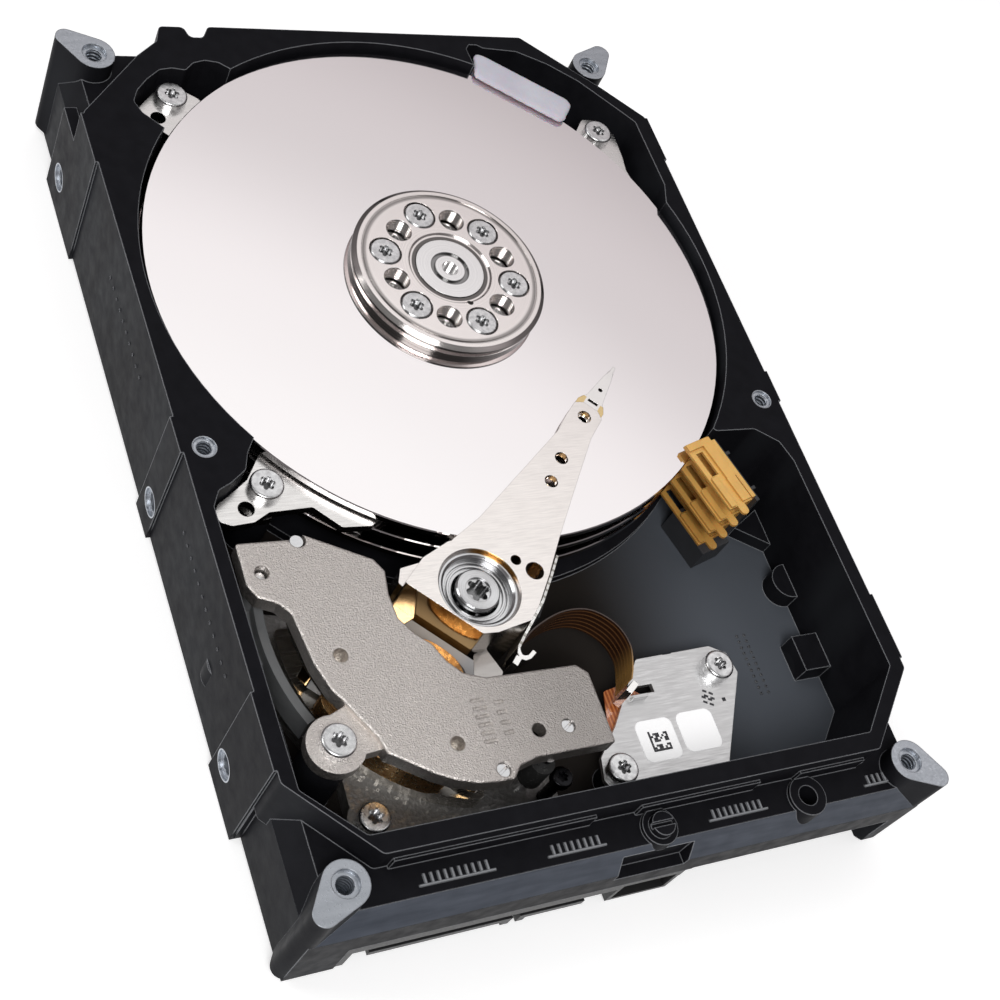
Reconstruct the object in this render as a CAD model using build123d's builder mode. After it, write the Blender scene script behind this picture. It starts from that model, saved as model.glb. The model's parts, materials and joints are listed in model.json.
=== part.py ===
"""Hard disk drive with its cover off: every separate piece as its own STEP file.

Frame: +Z up along the disc axis, Y along the length with the connector end at -Y,
origin at the centre of the underside.  Millimetres.
"""
import os
from math import atan2, cos, degrees, hypot, radians, sin

from build123d import *

os.makedirs("parts", exist_ok=True)

# ---------------------------------------------------------------- driving sizes
WIDTH = 101.6
LENGTH = 147.0
HALF_WIDTH = WIDTH / 2
HALF_LENGTH = LENGTH / 2
PANEL_X = 50.35            # side panels sit back from the mounting pads
END_X = 49.4               # the two ends are narrower still
RIM_TOP = 23.3
LEDGE_TOP = 18.3
CHAMFER_FOOT = 13.9
TOWER_TOP = 21.6
WELL_FLOOR = 8.6           # floor under the discs
BAY_FLOOR = 7.0            # floor of the actuator bay
UNDERSIDE = 5.0            # roof of the circuit board recess

SPINDLE = (0.0, 22.56)
PIVOT = (-14.1, -32.1)
ARM_ANGLE = 43.5           # direction of the arms as modelled
RAMP_ANGLE = 15.5          # direction of the load ramp from the pivot

DISC_RADIUS = 47.5
DISC_BORE = 12.5
DISC_THICKNESS = 1.27
DISC_PITCH = 3.6
DISC_TOP = 21.57           # upper face of the top disc
WELL_RADIUS = 48.3

ARM_THICKNESS = 1.0
ARM_MIDDLE = 22.735        # mid height of the top arm
ARM_HEIGHTS = [ARM_MIDDLE - DISC_PITCH * level for level in range(4)]
BLOCK_BOTTOM = ARM_HEIGHTS[3] - ARM_THICKNESS / 2
BLOCK_TOP = ARM_MIDDLE + ARM_THICKNESS / 2

THREAD_RADIUS = 1.45       # wall radius of the tapped mounting holes
MOUNT_Z = 6.35
SIDE_HOLES_Y = (-45.0, -3.7, 56.6)
BOTTOM_HOLES_X = 47.625
BOTTOM_HOLES_Y = (-32.22, 12.23)
TOWER_X = 45.2
TOWER_Y = 68.6
RIM_HOLE = (47.2, -5.6)

UPPER_YOKE_TOP = 22.7
UPPER_YOKE_BOTTOM = 20.1
LOWER_YOKE_TOP = 10.0
COIL_BOTTOM = 13.6
COIL_TOP = 17.6

EAR_ANGLES = (36.9, 132.2, 220.7)
EAR_RADIUS = 51.5
EAR_HALF = 3.0
UPPER_DAMPER_Z = 18.45
LOWER_DAMPER_Z = UPPER_DAMPER_Z - DISC_PITCH
DAMPER_THICKNESS = 1.4

BRACKET_TOP = 11.0
BRACKET_THICKNESS = 0.8
BRACKET_SCREWS = [(26.7, -45.2), (4.0, -58.2)]
LATCH_PIN = (-44.3, -25.4)
YOKE_EAR_SCREW = (-41.0, -50.6)
LOWER_YOKE_SCREW = (-34.3, -57.7)
FILTER_ANGLE = 53.0

BOARD_BOTTOM = 1.0
BOARD_TOP = 2.2
CONNECTOR_TOP = 8.6


# ---------------------------------------------------------------- small helpers
def about(centre, radius, angle):
    """Point at a radius and angle in degrees about a centre."""
    return (centre[0] + radius * cos(radians(angle)), centre[1] + radius * sin(radians(angle)))


def flat_at(height):
    """Horizontal plane at a height, world axes."""
    return Plane.XY.offset(height)


def turned(centre, angle, height):
    """Horizontal plane whose first axis points along an angle from a centre."""
    return Plane(
        origin=(centre[0], centre[1], height),
        x_dir=(cos(radians(angle)), sin(radians(angle)), 0),
        z_dir=(0, 0, 1),
    )


def ring_sector(inner, outer, start, end):
    """Ring sector about the sketch origin, angles in degrees."""
    with BuildLine() as border:
        far_arc = CenterArc((0, 0), outer, start, end - start)
        near_arc = CenterArc((0, 0), inner, start, end - start)
        Line(far_arc @ 0, near_arc @ 0)
        Line(far_arc @ 1, near_arc @ 1)
    make_face(border.line.edges())


def outline(points, radius=0.0):
    """Closed outline through points, its corners rounded."""
    with BuildLine() as border:
        if radius:
            FilletPolyline(*points, radius=radius, close=True)
        else:
            Polyline(*points, close=True)
    make_face(border.line.edges())


def star_recess(position, radius, mode=Mode.SUBTRACT):
    """Six-lobed driver recess."""
    with Locations(position):
        Circle(radius * 0.72, mode=mode)
        with PolarLocations(radius * 0.72, 6):
            Circle(radius * 0.28, mode=mode)


def save(part, name):
    """Name a finished piece and write its file."""
    part.label = name
    export_step(part, f"parts/{name}.step")


# ---------------------------------------------------------------- base casting
RIM_OUTLINE = [
    (-50.35, -55.0), (-50.35, 54.8), (-39.2, 66.6), (-35.3, 69.8), (-34.2, 73.0),
    (-30.1, 73.0), (-29.6, 70.8), (-27.4, 70.8), (-26.0, 73.2), (31.7, 73.2),
    (38.3, 66.9), (44.0, 61.6), (50.35, 54.8), (50.35, -55.0), (39.4, -66.5),
    (-39.9, -66.5),
]
BAY_OUTLINE = [
    (-39.0, -3.5), (-41.4, -7.2), (-42.4, -9.8), (-44.9, -11.6), (-47.0, -12.6),
    (-48.3, -15.0), (-48.3, -56.3), (-41.2, -63.7), (39.0, -63.7), (47.9, -54.2),
    (47.9, -17.5), (46.8, -13.8), (43.2, -11.0), (35.8, -10.7), (33.0, -5.0),
]
FAR_LEFT_POCKET = [
    (-20.0, 62.0), (-24.6, 64.2), (-26.2, 65.5), (-28.4, 65.9), (-30.4, 65.3), (-32.1, 63.7),
    (-34.2, 64.1), (-36.3, 63.7), (-38.8, 61.7), (-40.9, 59.4), (-42.0, 57.1), (-41.2, 54.8),
    (-38.2, 51.4), (-33.0, 45.0), (-25.0, 50.0),
]
FILTER_POCKET = [
    (46.0, 34.0), (47.9, 39.4), (47.9, 53.7), (46.1, 55.9), (39.8, 63.2), (35.0, 67.0),
    (29.8, 69.8), (23.4, 70.4), (22.4, 71.1), (20.8, 71.1), (20.0, 70.0), (20.2, 66.6), (30.0, 45.0),
]
PAD_RANGES = [(-53.3, -42.3, RIM_TOP), (-6.2, -0.3, RIM_TOP), (45.0, 54.6, RIM_TOP), (54.4, 61.3, 17.2)]
TICK_GROUPS = [(-33.5, 10), (-14.6, 8), (11.3, 9), (39.0, 4)]

with BuildPart() as base_casting:
    # lower tub with its bottom edges chamfered
    with BuildSketch(flat_at(0)):
        with Locations((0, 4)):
            Rectangle(2 * PANEL_X, 115)
        Rectangle(2 * END_X, LENGTH)
    extrude(amount=CHAMFER_FOOT)
    chamfer(faces().sort_by(Axis.Z)[0].edges(), 1.2)
    # both ends narrow upwards to the ledges
    with BuildSketch(flat_at(CHAMFER_FOOT)):
        Rectangle(2 * END_X, LENGTH)
    extrude(amount=LEDGE_TOP - CHAMFER_FOOT, taper=26.5)
    # rim wall
    with BuildSketch(flat_at(CHAMFER_FOOT - 2)):
        outline(RIM_OUTLINE, 1.0)
    extrude(amount=RIM_TOP - CHAMFER_FOOT + 2)
    # side pads around the mounting holes
    for low_y, high_y, top in PAD_RANGES:
        for side in (-1, 1):
            with BuildSketch(flat_at(0.5)):
                with Locations((side * (HALF_WIDTH - 1.0), (low_y + high_y) / 2)):
                    Rectangle(2.0, high_y - low_y)
            extrude(amount=top - 0.5)
    # teardrop corner towers
    for side_x in (-1, 1):
        for side_y in (-1, 1):
            with BuildSketch(flat_at(2.0)):
                with Locations((side_x * TOWER_X, side_y * TOWER_Y)):
                    Circle(3.2)
                with Locations((side_x * 48.9, side_y * (HALF_LENGTH - 1.7))):
                    Circle(1.7)
                make_hull()
            extrude(amount=TOWER_TOP - 2.0)
    # bars along the foot of the rim at the connector end
    for start_x, end_x in [(-37.9, -8.0), (-0.7, 19.1), (26.2, 37.9)]:
        with BuildSketch(flat_at(LEDGE_TOP - 0.5)):
            with Locations(((start_x + end_x) / 2, -66.6)):
                Rectangle(end_x - start_x, 0.7)
        extrude(amount=20.9 - LEDGE_TOP + 0.5)
    # cast tick marks on the ledge
    for start_x, count in TICK_GROUPS:
        with BuildSketch(flat_at(LEDGE_TOP - 0.2)):
            with Locations((start_x + (count - 1) / 2, -69.2)):
                with GridLocations(1.0, 1.0, count, 1):
                    Rectangle(0.28, 1.3)
            with Locations((start_x + (count - 1) / 2, -70.0)):
                Rectangle(count + 1.0, 0.22)
        extrude(amount=0.38)
    # two round bosses on the ledge
    with BuildSketch(flat_at(LEDGE_TOP - 4.0)):
        with Locations((2.0, -69.4)):
            Circle(2.7)
        with Locations((27.3, -69.7)):
            Circle(3.0)
    extrude(amount=4.7)
    with BuildSketch(flat_at(LEDGE_TOP)):
        with Locations((2.0, -69.4)):
            Circle(1.75)
    extrude(amount=1.9)
    with BuildSketch(flat_at(LEDGE_TOP + 1.2)):
        with Locations((2.0, -69.4)):
            Rectangle(3.6, 0.7)
    extrude(amount=1.0, mode=Mode.SUBTRACT)
    with BuildSketch(flat_at(LEDGE_TOP - 3.0)):
        with Locations((27.3, -69.7)):
            Circle(1.5)
    extrude(amount=4.0, mode=Mode.SUBTRACT)
    # notch between the two bevelled strips
    with BuildSketch(flat_at(12.4)):
        with Locations((1.8, -73.0)):
            Rectangle(11.6, 2.6)
    extrude(amount=4.6, mode=Mode.SUBTRACT)
    # disc well, pockets beside it and actuator bay
    with BuildSketch(flat_at(WELL_FLOOR)):
        with Locations(SPINDLE):
            Circle(WELL_RADIUS)
        outline(FAR_LEFT_POCKET, 0.9)
        outline(FILTER_POCKET, 0.5)
    extrude(amount=RIM_TOP, mode=Mode.SUBTRACT)
    with BuildSketch(flat_at(BAY_FLOOR)):
        outline(BAY_OUTLINE, 0.8)
        with Locations(SPINDLE):
            Circle(WELL_RADIUS - 0.02, mode=Mode.SUBTRACT)
    extrude(amount=RIM_TOP, mode=Mode.SUBTRACT)
    with BuildSketch(flat_at(WELL_FLOOR)):
        outline(BAY_OUTLINE, 0.8)
    extrude(amount=RIM_TOP, mode=Mode.SUBTRACT)
    # pieces left standing inside the bay: screw pockets, ramp gusset, posts
    with BuildSketch(flat_at(BAY_FLOOR - 0.5)):
        for side in (-1, 1):
            with Locations((side * 46.2, SIDE_HOLES_Y[0])):
                Rectangle(6.2, 6.0)
    extrude(amount=4.2)
    with BuildSketch(flat_at(BAY_FLOOR - 0.5)):
        with Locations((BOTTOM_HOLES_X, BOTTOM_HOLES_Y[0]), (-BOTTOM_HOLES_X, BOTTOM_HOLES_Y[0])):
            Circle(3.0)
    extrude(amount=3.8)
    with BuildSketch(flat_at(BAY_FLOOR - 0.5)):
        outline([(42.4, -21.2), (48.2, -18.2), (48.2, -25.2)])
    extrude(amount=3.0)
    with BuildSketch(flat_at(BAY_FLOOR - 0.5)):
        with Locations(YOKE_EAR_SCREW):
            Circle(3.4)
    extrude(amount=19.7 - BAY_FLOOR + 0.5)
    with BuildSketch(flat_at(BAY_FLOOR - 0.5)):
        with Locations(*BRACKET_SCREWS):
            Circle(2.4)
    extrude(amount=BRACKET_TOP - BRACKET_THICKNESS - BAY_FLOOR + 0.5)
    # seats for the damper plates
    with BuildSketch(flat_at(BAY_FLOOR - 0.5)):
        for angle in EAR_ANGLES:
            with Locations(about(SPINDLE, EAR_RADIUS, angle)):
                Circle(2.8)
    extrude(amount=LOWER_DAMPER_Z - BAY_FLOOR + 0.5)
    # motor seat under and over the floor
    with BuildSketch(flat_at(WELL_FLOOR - 0.2)):
        with Locations(SPINDLE):
            Circle(5.4)
            Circle(4.7, mode=Mode.SUBTRACT)
    extrude(amount=4.4)
    # recess for the circuit board, leaving the two rails and the end walls
    with BuildSketch(flat_at(-1)):
        with Locations((0, 2.25)):
            RectangleRounded(86.4, 134.5, 4.0)
    extrude(amount=UNDERSIDE + 1, mode=Mode.SUBTRACT)
    with BuildSketch(flat_at(-1)):
        with Locations((-15.45, -70.0)):
            Rectangle(53.3, 12.0)
    extrude(amount=CONNECTOR_TOP + 1.1, mode=Mode.SUBTRACT)
    with BuildSketch(flat_at(-1)):
        with Locations((29.0, -73.5)):
            Rectangle(36.0, 5.0)
    extrude(amount=10.0, mode=Mode.SUBTRACT)
    # ring around the motor and posts for the board, on the underside
    with BuildSketch(flat_at(2.8)):
        with Locations(SPINDLE):
            Circle(15.0)
    extrude(amount=UNDERSIDE - 2.8 + 0.3)
    with BuildSketch(flat_at(BOARD_TOP)):
        with Locations((-38.0, -22.0), (38.0, -22.0), (36.0, -58.0), (-20.0, 0.5), (20.0, 0.5)):
            Circle(2.4)
    extrude(amount=UNDERSIDE - BOARD_TOP + 0.3)
    # shallow stiffening ribs under the far half
    with BuildSketch(flat_at(UNDERSIDE - 1.2)):
        with Locations(SPINDLE):
            Circle(36.0)
            Circle(34.4, mode=Mode.SUBTRACT)
            with PolarLocations(24.5, 5, 10, 160):
                Rectangle(21.0, 1.4)
    extrude(amount=1.5)
    # holes: shaft seats, tapped holes, screw seats
    with BuildSketch(flat_at(2.0)):
        with Locations(SPINDLE):
            Circle(2.5)
    extrude(amount=8.0, mode=Mode.SUBTRACT)
    for side in (-1, 1):
        for hole_y in SIDE_HOLES_Y:
            with BuildSketch(Plane.YZ.offset(side * (HALF_WIDTH - 4.6))):
                with Locations((hole_y, MOUNT_Z)):
                    Circle(THREAD_RADIUS)
            extrude(amount=side * 6.0, mode=Mode.SUBTRACT)
            with BuildSketch(Plane.YZ.offset(side * (HALF_WIDTH - 0.5))):
                with Locations((hole_y, MOUNT_Z)):
                    Circle(2.1)
            extrude(amount=side * 2.0, mode=Mode.SUBTRACT)
    with BuildSketch(flat_at(-1)):
        for hole_y in BOTTOM_HOLES_Y:
            with Locations((-BOTTOM_HOLES_X, hole_y), (BOTTOM_HOLES_X, hole_y)):
                Circle(THREAD_RADIUS)
    extrude(amount=6.0, mode=Mode.SUBTRACT)
    with BuildSketch(flat_at(TOWER_TOP - 8.0)):
        with GridLocations(2 * TOWER_X, 2 * TOWER_Y, 2, 2):
            Circle(1.25)
    extrude(amount=9.0, mode=Mode.SUBTRACT)
    with BuildSketch(flat_at(TOWER_TOP - 0.6)):
        with GridLocations(2 * TOWER_X, 2 * TOWER_Y, 2, 2):
            Circle(1.9)
    extrude(amount=2.0, mode=Mode.SUBTRACT)
    with BuildSketch(flat_at(RIM_TOP - 6.0)):
        with Locations(RIM_HOLE, (-RIM_HOLE[0], RIM_HOLE[1])):
            Circle(1.1)
    extrude(amount=7.0, mode=Mode.SUBTRACT)
    with BuildSketch(flat_at(RIM_TOP - 0.3)):
        with Locations(RIM_HOLE, (-RIM_HOLE[0], RIM_HOLE[1])):
            Circle(1.6)
    extrude(amount=1.0, mode=Mode.SUBTRACT)
    # screw seats inside
    with BuildSketch(flat_at(BAY_FLOOR + 1.0)):
        with Locations(YOKE_EAR_SCREW, *BRACKET_SCREWS, *[about(SPINDLE, EAR_RADIUS, a) for a in EAR_ANGLES]):
            Circle(1.1)
    extrude(amount=20.0, mode=Mode.SUBTRACT)
    # opening for the head connector in the floor
    with BuildSketch(flat_at(3.0)):
        with Locations((17.0, -53.0)):
            Rectangle(17.0, 7.0)
    extrude(amount=8.0, mode=Mode.SUBTRACT)
save(base_casting.part, "base_casting")

# ---------------------------------------------------------------- spindle motor, fixed part
SHAFT_RADIUS = 2.5
with BuildPart() as spindle_shaft:
    with BuildSketch(flat_at(2.8)):
        with Locations(SPINDLE):
            Circle(SHAFT_RADIUS)
    extrude(amount=16.8)
    chamfer(edges().sort_by(Axis.Z)[-1], 0.4)
save(spindle_shaft.part, "spindle_shaft")

STATOR_LOW = 9.6
STATOR_THICK = 2.6
with BuildPart() as stator_core:
    with BuildSketch(flat_at(STATOR_LOW)):
        with Locations(SPINDLE):
            Circle(6.6)
            Circle(5.4, mode=Mode.SUBTRACT)
            with PolarLocations(7.9, 9):
                Rectangle(3.2, 1.1)
            with PolarLocations(9.6, 9):
                Rectangle(0.8, 4.6)
    extrude(amount=STATOR_THICK)
save(stator_core.part, "stator_core")

with BuildPart() as stator_coils:
    with BuildSketch(flat_at(STATOR_LOW - 0.6)):
        with Locations(SPINDLE):
            with PolarLocations(7.95, 9):
                Rectangle(2.1, 2.7)
    extrude(amount=STATOR_THICK + 1.2)
    with BuildSketch(flat_at(STATOR_LOW)):
        with Locations(SPINDLE):
            with PolarLocations(7.95, 9):
                Rectangle(2.3, 1.1)
    extrude(amount=STATOR_THICK, mode=Mode.SUBTRACT)
save(stator_coils.part, "stator_coils")

# ---------------------------------------------------------------- spindle, turning part
HUB_RADIUS = DISC_BORE - 0.02
HUB_SEAT = DISC_TOP - 2 * DISC_PITCH - DISC_THICKNESS
SLEEVE_RADIUS = 4.2
CLAMP_RADIUS = 15.9
CLAMP_TOP = 24.2
CLAMP_SCREW_CIRCLE = 10.6
with BuildPart() as spindle_hub:
    with BuildSketch(Plane.XZ.offset(-SPINDLE[1])):
        outline([
            (0.0, 20.2), (0.0, 24.0), (5.6, 24.0), (5.6, 21.4), (HUB_RADIUS, 21.4),
            (HUB_RADIUS, HUB_SEAT), (15.2, HUB_SEAT), (15.2, 11.9), (HUB_RADIUS, 11.9),
            (HUB_RADIUS, 9.2), (11.4, 9.2), (11.4, 15.2), (5.8, 15.2), (SLEEVE_RADIUS, 13.4),
            (SLEEVE_RADIUS, 20.2),
        ])
    revolve(axis=Axis((SPINDLE[0], SPINDLE[1], 0), (0, 0, 1)))
    # balance holes and tapped holes
    with BuildSketch(flat_at(17.0)):
        with Locations(SPINDLE):
            with PolarLocations(CLAMP_SCREW_CIRCLE, 6, 40):
                Circle(1.1)
            with PolarLocations(9.9, 6, 10):
                Circle(1.5)
    extrude(amount=6.0, mode=Mode.SUBTRACT)
    # centring hole and groove on the top
    with BuildSketch(flat_at(22.8)):
        with Locations(SPINDLE):
            Circle(1.3)
    extrude(amount=2.0, mode=Mode.SUBTRACT)
    with BuildSketch(flat_at(23.7)):
        with Locations(SPINDLE):
            Circle(3.1)
            Circle(2.5, mode=Mode.SUBTRACT)
    extrude(amount=1.0, mode=Mode.SUBTRACT)
save(spindle_hub.part, "spindle_hub")

with BuildPart() as spindle_sleeve:
    with BuildSketch(flat_at(9.0)):
        with Locations(SPINDLE):
            Circle(SLEEVE_RADIUS)
            Circle(SHAFT_RADIUS + 0.05, mode=Mode.SUBTRACT)
    extrude(amount=11.1)
save(spindle_sleeve.part, "spindle_sleeve")

with BuildPart() as rotor_magnet:
    with BuildSketch(flat_at(9.3)):
        with Locations(SPINDLE):
            Circle(11.4)
            Circle(10.4, mode=Mode.SUBTRACT)
    extrude(amount=4.2)
save(rotor_magnet.part, "rotor_magnet")

for level, name in enumerate(["platter_top", "platter_middle", "platter_bottom"]):
    with BuildPart() as platter:
        with BuildSketch(flat_at(DISC_TOP - level * DISC_PITCH - DISC_THICKNESS)):
            with Locations(SPINDLE):
                Circle(DISC_RADIUS)
                Circle(DISC_BORE, mode=Mode.SUBTRACT)
        extrude(amount=DISC_THICKNESS)
        chamfer(edges().filter_by(GeomType.CIRCLE), 0.15)
    save(platter.part, name)

for level, name in enumerate(["spacer_upper", "spacer_lower"]):
    with BuildPart() as spacer:
        with BuildSketch(flat_at(DISC_TOP - (level + 1) * DISC_PITCH)):
            with Locations(SPINDLE):
                Circle(15.2)
                Circle(DISC_BORE, mode=Mode.SUBTRACT)
        extrude(amount=DISC_PITCH - DISC_THICKNESS)
    save(spacer.part, name)

with BuildPart() as disc_clamp:
    with BuildSketch(Plane.XZ.offset(-SPINDLE[1])):
        outline([
            (5.7, 21.75), (5.7, 23.9), (6.6, 23.9), (6.9, CLAMP_TOP), (15.2, CLAMP_TOP),
            (CLAMP_RADIUS, CLAMP_TOP - 0.5), (CLAMP_RADIUS, 23.3), (15.2, 23.0), (15.2, 22.5),
            (CLAMP_RADIUS - 0.2, 22.3), (CLAMP_RADIUS - 0.2, DISC_TOP), (13.2, DISC_TOP),
            (12.9, 21.75),
        ])
    revolve(axis=Axis((SPINDLE[0], SPINDLE[1], 0), (0, 0, 1)))
    with BuildSketch(flat_at(20.0)):
        with Locations(SPINDLE):
            with PolarLocations(CLAMP_SCREW_CIRCLE, 6, 40):
                Circle(1.25)
            with PolarLocations(9.9, 6, 10):
                Circle(2.1)
    extrude(amount=6.0, mode=Mode.SUBTRACT)
    with BuildSketch(flat_at(CLAMP_TOP - 1.3)):
        with Locations(SPINDLE):
            with PolarLocations(CLAMP_SCREW_CIRCLE, 6, 40):
                Circle(2.65)
    extrude(amount=3.0, mode=Mode.SUBTRACT)
    # fine turned grooves on the face
    with BuildSketch(flat_at(CLAMP_TOP - 0.15)):
        with Locations(SPINDLE):
            Circle(14.5)
            Circle(14.2, mode=Mode.SUBTRACT)
    extrude(amount=1.0, mode=Mode.SUBTRACT)
save(disc_clamp.part, "disc_clamp")

with BuildPart() as clamp_screws:
    with BuildSketch(flat_at(CLAMP_TOP - 1.3)):
        with Locations(SPINDLE):
            with PolarLocations(CLAMP_SCREW_CIRCLE, 6, 40):
                Circle(2.5)
    extrude(amount=1.35)
    chamfer(edges().group_by(Axis.Z)[-1], 0.25)
    with BuildSketch(flat_at(17.2)):
        with Locations(SPINDLE):
            with PolarLocations(CLAMP_SCREW_CIRCLE, 6, 40):
                Circle(1.08)
    extrude(amount=CLAMP_TOP - 1.3 - 17.2)
    for number in range(6):
        with BuildSketch(flat_at(CLAMP_TOP - 0.85)):
            star_recess(about(SPINDLE, CLAMP_SCREW_CIRCLE, 40 + 60 * number), 1.15, Mode.ADD)
        extrude(amount=2.0, mode=Mode.SUBTRACT)
save(clamp_screws.part, "clamp_screws")

# ---------------------------------------------------------------- actuator
# local axes: first axis along the arms, second axis to their left, origin on the pivot
def arm_plane(height):
    """Horizontal plane of the actuator at a height."""
    return turned(PIVOT, ARM_ANGLE, height)


CORE_OUTLINE = [
    (-6.3, 9.1), (-1.1, 8.9), (3.6, 7.2), (6.2, 5.2), (7.9, 1.5), (9.2, -3.0), (10.0, -7.0),
    (9.0, -7.4), (2.9, -8.4), (0.1, -8.5), (-4.7, -5.4), (-6.3, -3.7),
]
ARM_OUTLINE = [
    (-2.0, 8.0), (4.85, 6.7), (10.3, 5.3), (32.9, 2.3), (35.5, 2.5), (39.4, 2.5), (40.4, 1.3),
    (40.4, -1.3), (39.4, -2.5), (34.9, -2.6), (25.0, -4.3), (15.0, -6.1), (9.0, -7.35), (4.0, -8.0),
]
LUG_TOP = 21.7
SLEEVE_OUTER = 6.2
SLEEVE_INNER = 5.2
# outer line of a coil leg as distance behind the pivot and half width, then how far its two ends bulge
COIL_LEG = [(25.6, 11.2), (9.2, 4.8)]
COIL_REACH = [28.2, 8.0]
REAR_ARM_LEFT = [
    (-4.0, 8.8), (-6.5, 9.3), (-12.0, 10.2), (-22.5, 14.6), (-23.0, 12.6), (-12.5, 7.9), (-5.5, 5.0),
]
REAR_ARM_RIGHT = [
    (-4.0, -5.6), (-5.6, -9.2), (-8.0, -9.8), (-12.0, -10.2),
    (-22.5, -14.6), (-23.0, -12.6), (-12.5, -7.9), (-5.9, -4.4),
]
with BuildPart() as arm_block:
    with BuildSketch(arm_plane(BLOCK_BOTTOM)):
        outline(CORE_OUTLINE, 0.4)
    extrude(amount=BLOCK_TOP - BLOCK_BOTTOM)
    for height in ARM_HEIGHTS:
        with BuildSketch(arm_plane(height - ARM_THICKNESS / 2)):
            outline(ARM_OUTLINE, 0.5)
        extrude(amount=ARM_THICKNESS)
    # low lug at the root of the left rear arm
    with BuildSketch(arm_plane(COIL_TOP)):
        outline([(-1.0, 7.8), (-1.2, 9.0), (-3.7, 10.7), (-5.9, 9.8), (-6.3, 7.8)], 0.3)
    extrude(amount=LUG_TOP - COIL_TOP)
    # two rear arms that hold the coil
    with BuildSketch(arm_plane(COIL_BOTTOM + 0.4)):
        outline(REAR_ARM_LEFT, 0.4)
        outline(REAR_ARM_RIGHT, 0.4)
    extrude(amount=COIL_TOP - COIL_BOTTOM - 0.8)
    # bearing bore and lightening holes
    with BuildSketch(arm_plane(0)):
        Circle(SLEEVE_OUTER)
    extrude(amount=30.0, mode=Mode.SUBTRACT)
    with BuildSketch(arm_plane(10.0)):
        with Locations((28.3, -0.3), (23.4, -0.8)):
            Circle(1.05)
        with Locations((37.9, 0.0)):
            Circle(1.1)
    extrude(amount=20.0, mode=Mode.SUBTRACT)
    with BuildSketch(arm_plane(16.0)):
        with Locations((7.45, -2.3)):
            Circle(0.8)
        with Locations((7.7, -5.4)):
            Circle(1.4)
    extrude(amount=20.0, mode=Mode.SUBTRACT)
save(arm_block.part, "arm_block")

# each step of the bearing shield: height of its underside, inner and outer radius
SHIELD_STEPS = [(20.95, 3.62, 4.75), (21.25, 4.1, 4.4), (21.25, 4.72, SLEEVE_INNER + 0.1)]
with BuildPart() as pivot_sleeve:
    with BuildSketch(arm_plane(11.8)):
        Circle(SLEEVE_OUTER)
        Circle(SLEEVE_INNER, mode=Mode.SUBTRACT)
    extrude(amount=10.8)
    chamfer(edges().group_by(Axis.Z)[-1], 0.35)
    # stepped shield over the upper bearing
    for height, inner, outer in SHIELD_STEPS:
        with BuildSketch(arm_plane(height)):
            Circle(outer)
            Circle(inner, mode=Mode.SUBTRACT)
        extrude(amount=0.3)
save(pivot_sleeve.part, "pivot_sleeve")

# bearing: outer races turn with the sleeve, balls stay with the fixed post
BALL_CIRCLE = 3.95
with BuildPart() as bearing_balls:
    for height in (13.4, 20.2):
        with Locations(turned(PIVOT, 0, height)):
            with PolarLocations(BALL_CIRCLE, 11):
                Sphere(0.62)
save(bearing_balls.part, "bearing_balls")

with BuildPart() as pivot_post:
    with BuildSketch(flat_at(BAY_FLOOR)):
        with Locations(PIVOT):
            Circle(5.0)
    extrude(amount=1.4)
    with BuildSketch(flat_at(BAY_FLOOR)):
        with Locations(PIVOT):
            Circle(3.28)
    extrude(amount=22.6 - BAY_FLOOR)
    chamfer(edges().group_by(Axis.Z)[-1], 0.2)
    with BuildSketch(flat_at(20.9)):
        star_recess(PIVOT, 1.75, Mode.ADD)
    extrude(amount=4.0, mode=Mode.SUBTRACT)
    with BuildSketch(flat_at(22.3)):
        with Locations(PIVOT):
            Circle(1.9)
    extrude(amount=1.0, mode=Mode.SUBTRACT)
save(pivot_post.part, "pivot_post")


def coil_outline():
    """Outer edge of the coil as seen from above, pivot at the origin."""
    with BuildLine() as edge:
        far_end = ThreePointArc(
            (-COIL_LEG[0][0], COIL_LEG[0][1]), (-COIL_REACH[0], 0), (-COIL_LEG[0][0], -COIL_LEG[0][1])
        )
        near_end = ThreePointArc(
            (-COIL_LEG[1][0], COIL_LEG[1][1]), (-COIL_REACH[1], 0), (-COIL_LEG[1][0], -COIL_LEG[1][1])
        )
        Line(far_end @ 0, near_end @ 0)
        Line(far_end @ 1, near_end @ 1)
    make_face(edge.line.edges())


with BuildPart() as voice_coil:
    with BuildSketch(arm_plane(COIL_BOTTOM)):
        coil_outline()
        fillet(vertices(), 2.0)
        offset(amount=-3.5, mode=Mode.SUBTRACT)
    extrude(amount=COIL_TOP - COIL_BOTTOM)
    fillet(edges().group_by(Axis.Z)[-1], 0.4)
save(voice_coil.part, "voice_coil")

# grey filler between the coil and the two rear arms, open at the far end
with BuildPart() as coil_frame:
    with BuildSketch(arm_plane(COIL_BOTTOM + 0.2)):
        outline([
            (-22.95, 12.45), (-12.5, 7.75), (-6.9, 5.45), (-6.9, -4.85), (-12.5, -7.75), (-22.95, -12.45),
        ])
    extrude(amount=COIL_TOP - COIL_BOTTOM - 0.4)
    with BuildSketch(arm_plane(COIL_BOTTOM)):
        coil_outline()
        fillet(vertices(), 2.0)
    extrude(amount=COIL_TOP - COIL_BOTTOM, mode=Mode.SUBTRACT)
save(coil_frame.part, "coil_frame")

LOAD_BEAM = [
    (38.2, 2.3), (41.6, 2.35), (42.6, 1.9), (43.2, 1.45), (48.4, 0.75), (50.2, 0.3), (51.4, 0.3),
    (51.4, -0.3), (50.2, -0.3), (48.4, -0.75), (43.2, -1.45), (42.6, -1.9), (41.6, -2.35), (38.2, -2.3),
]


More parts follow.
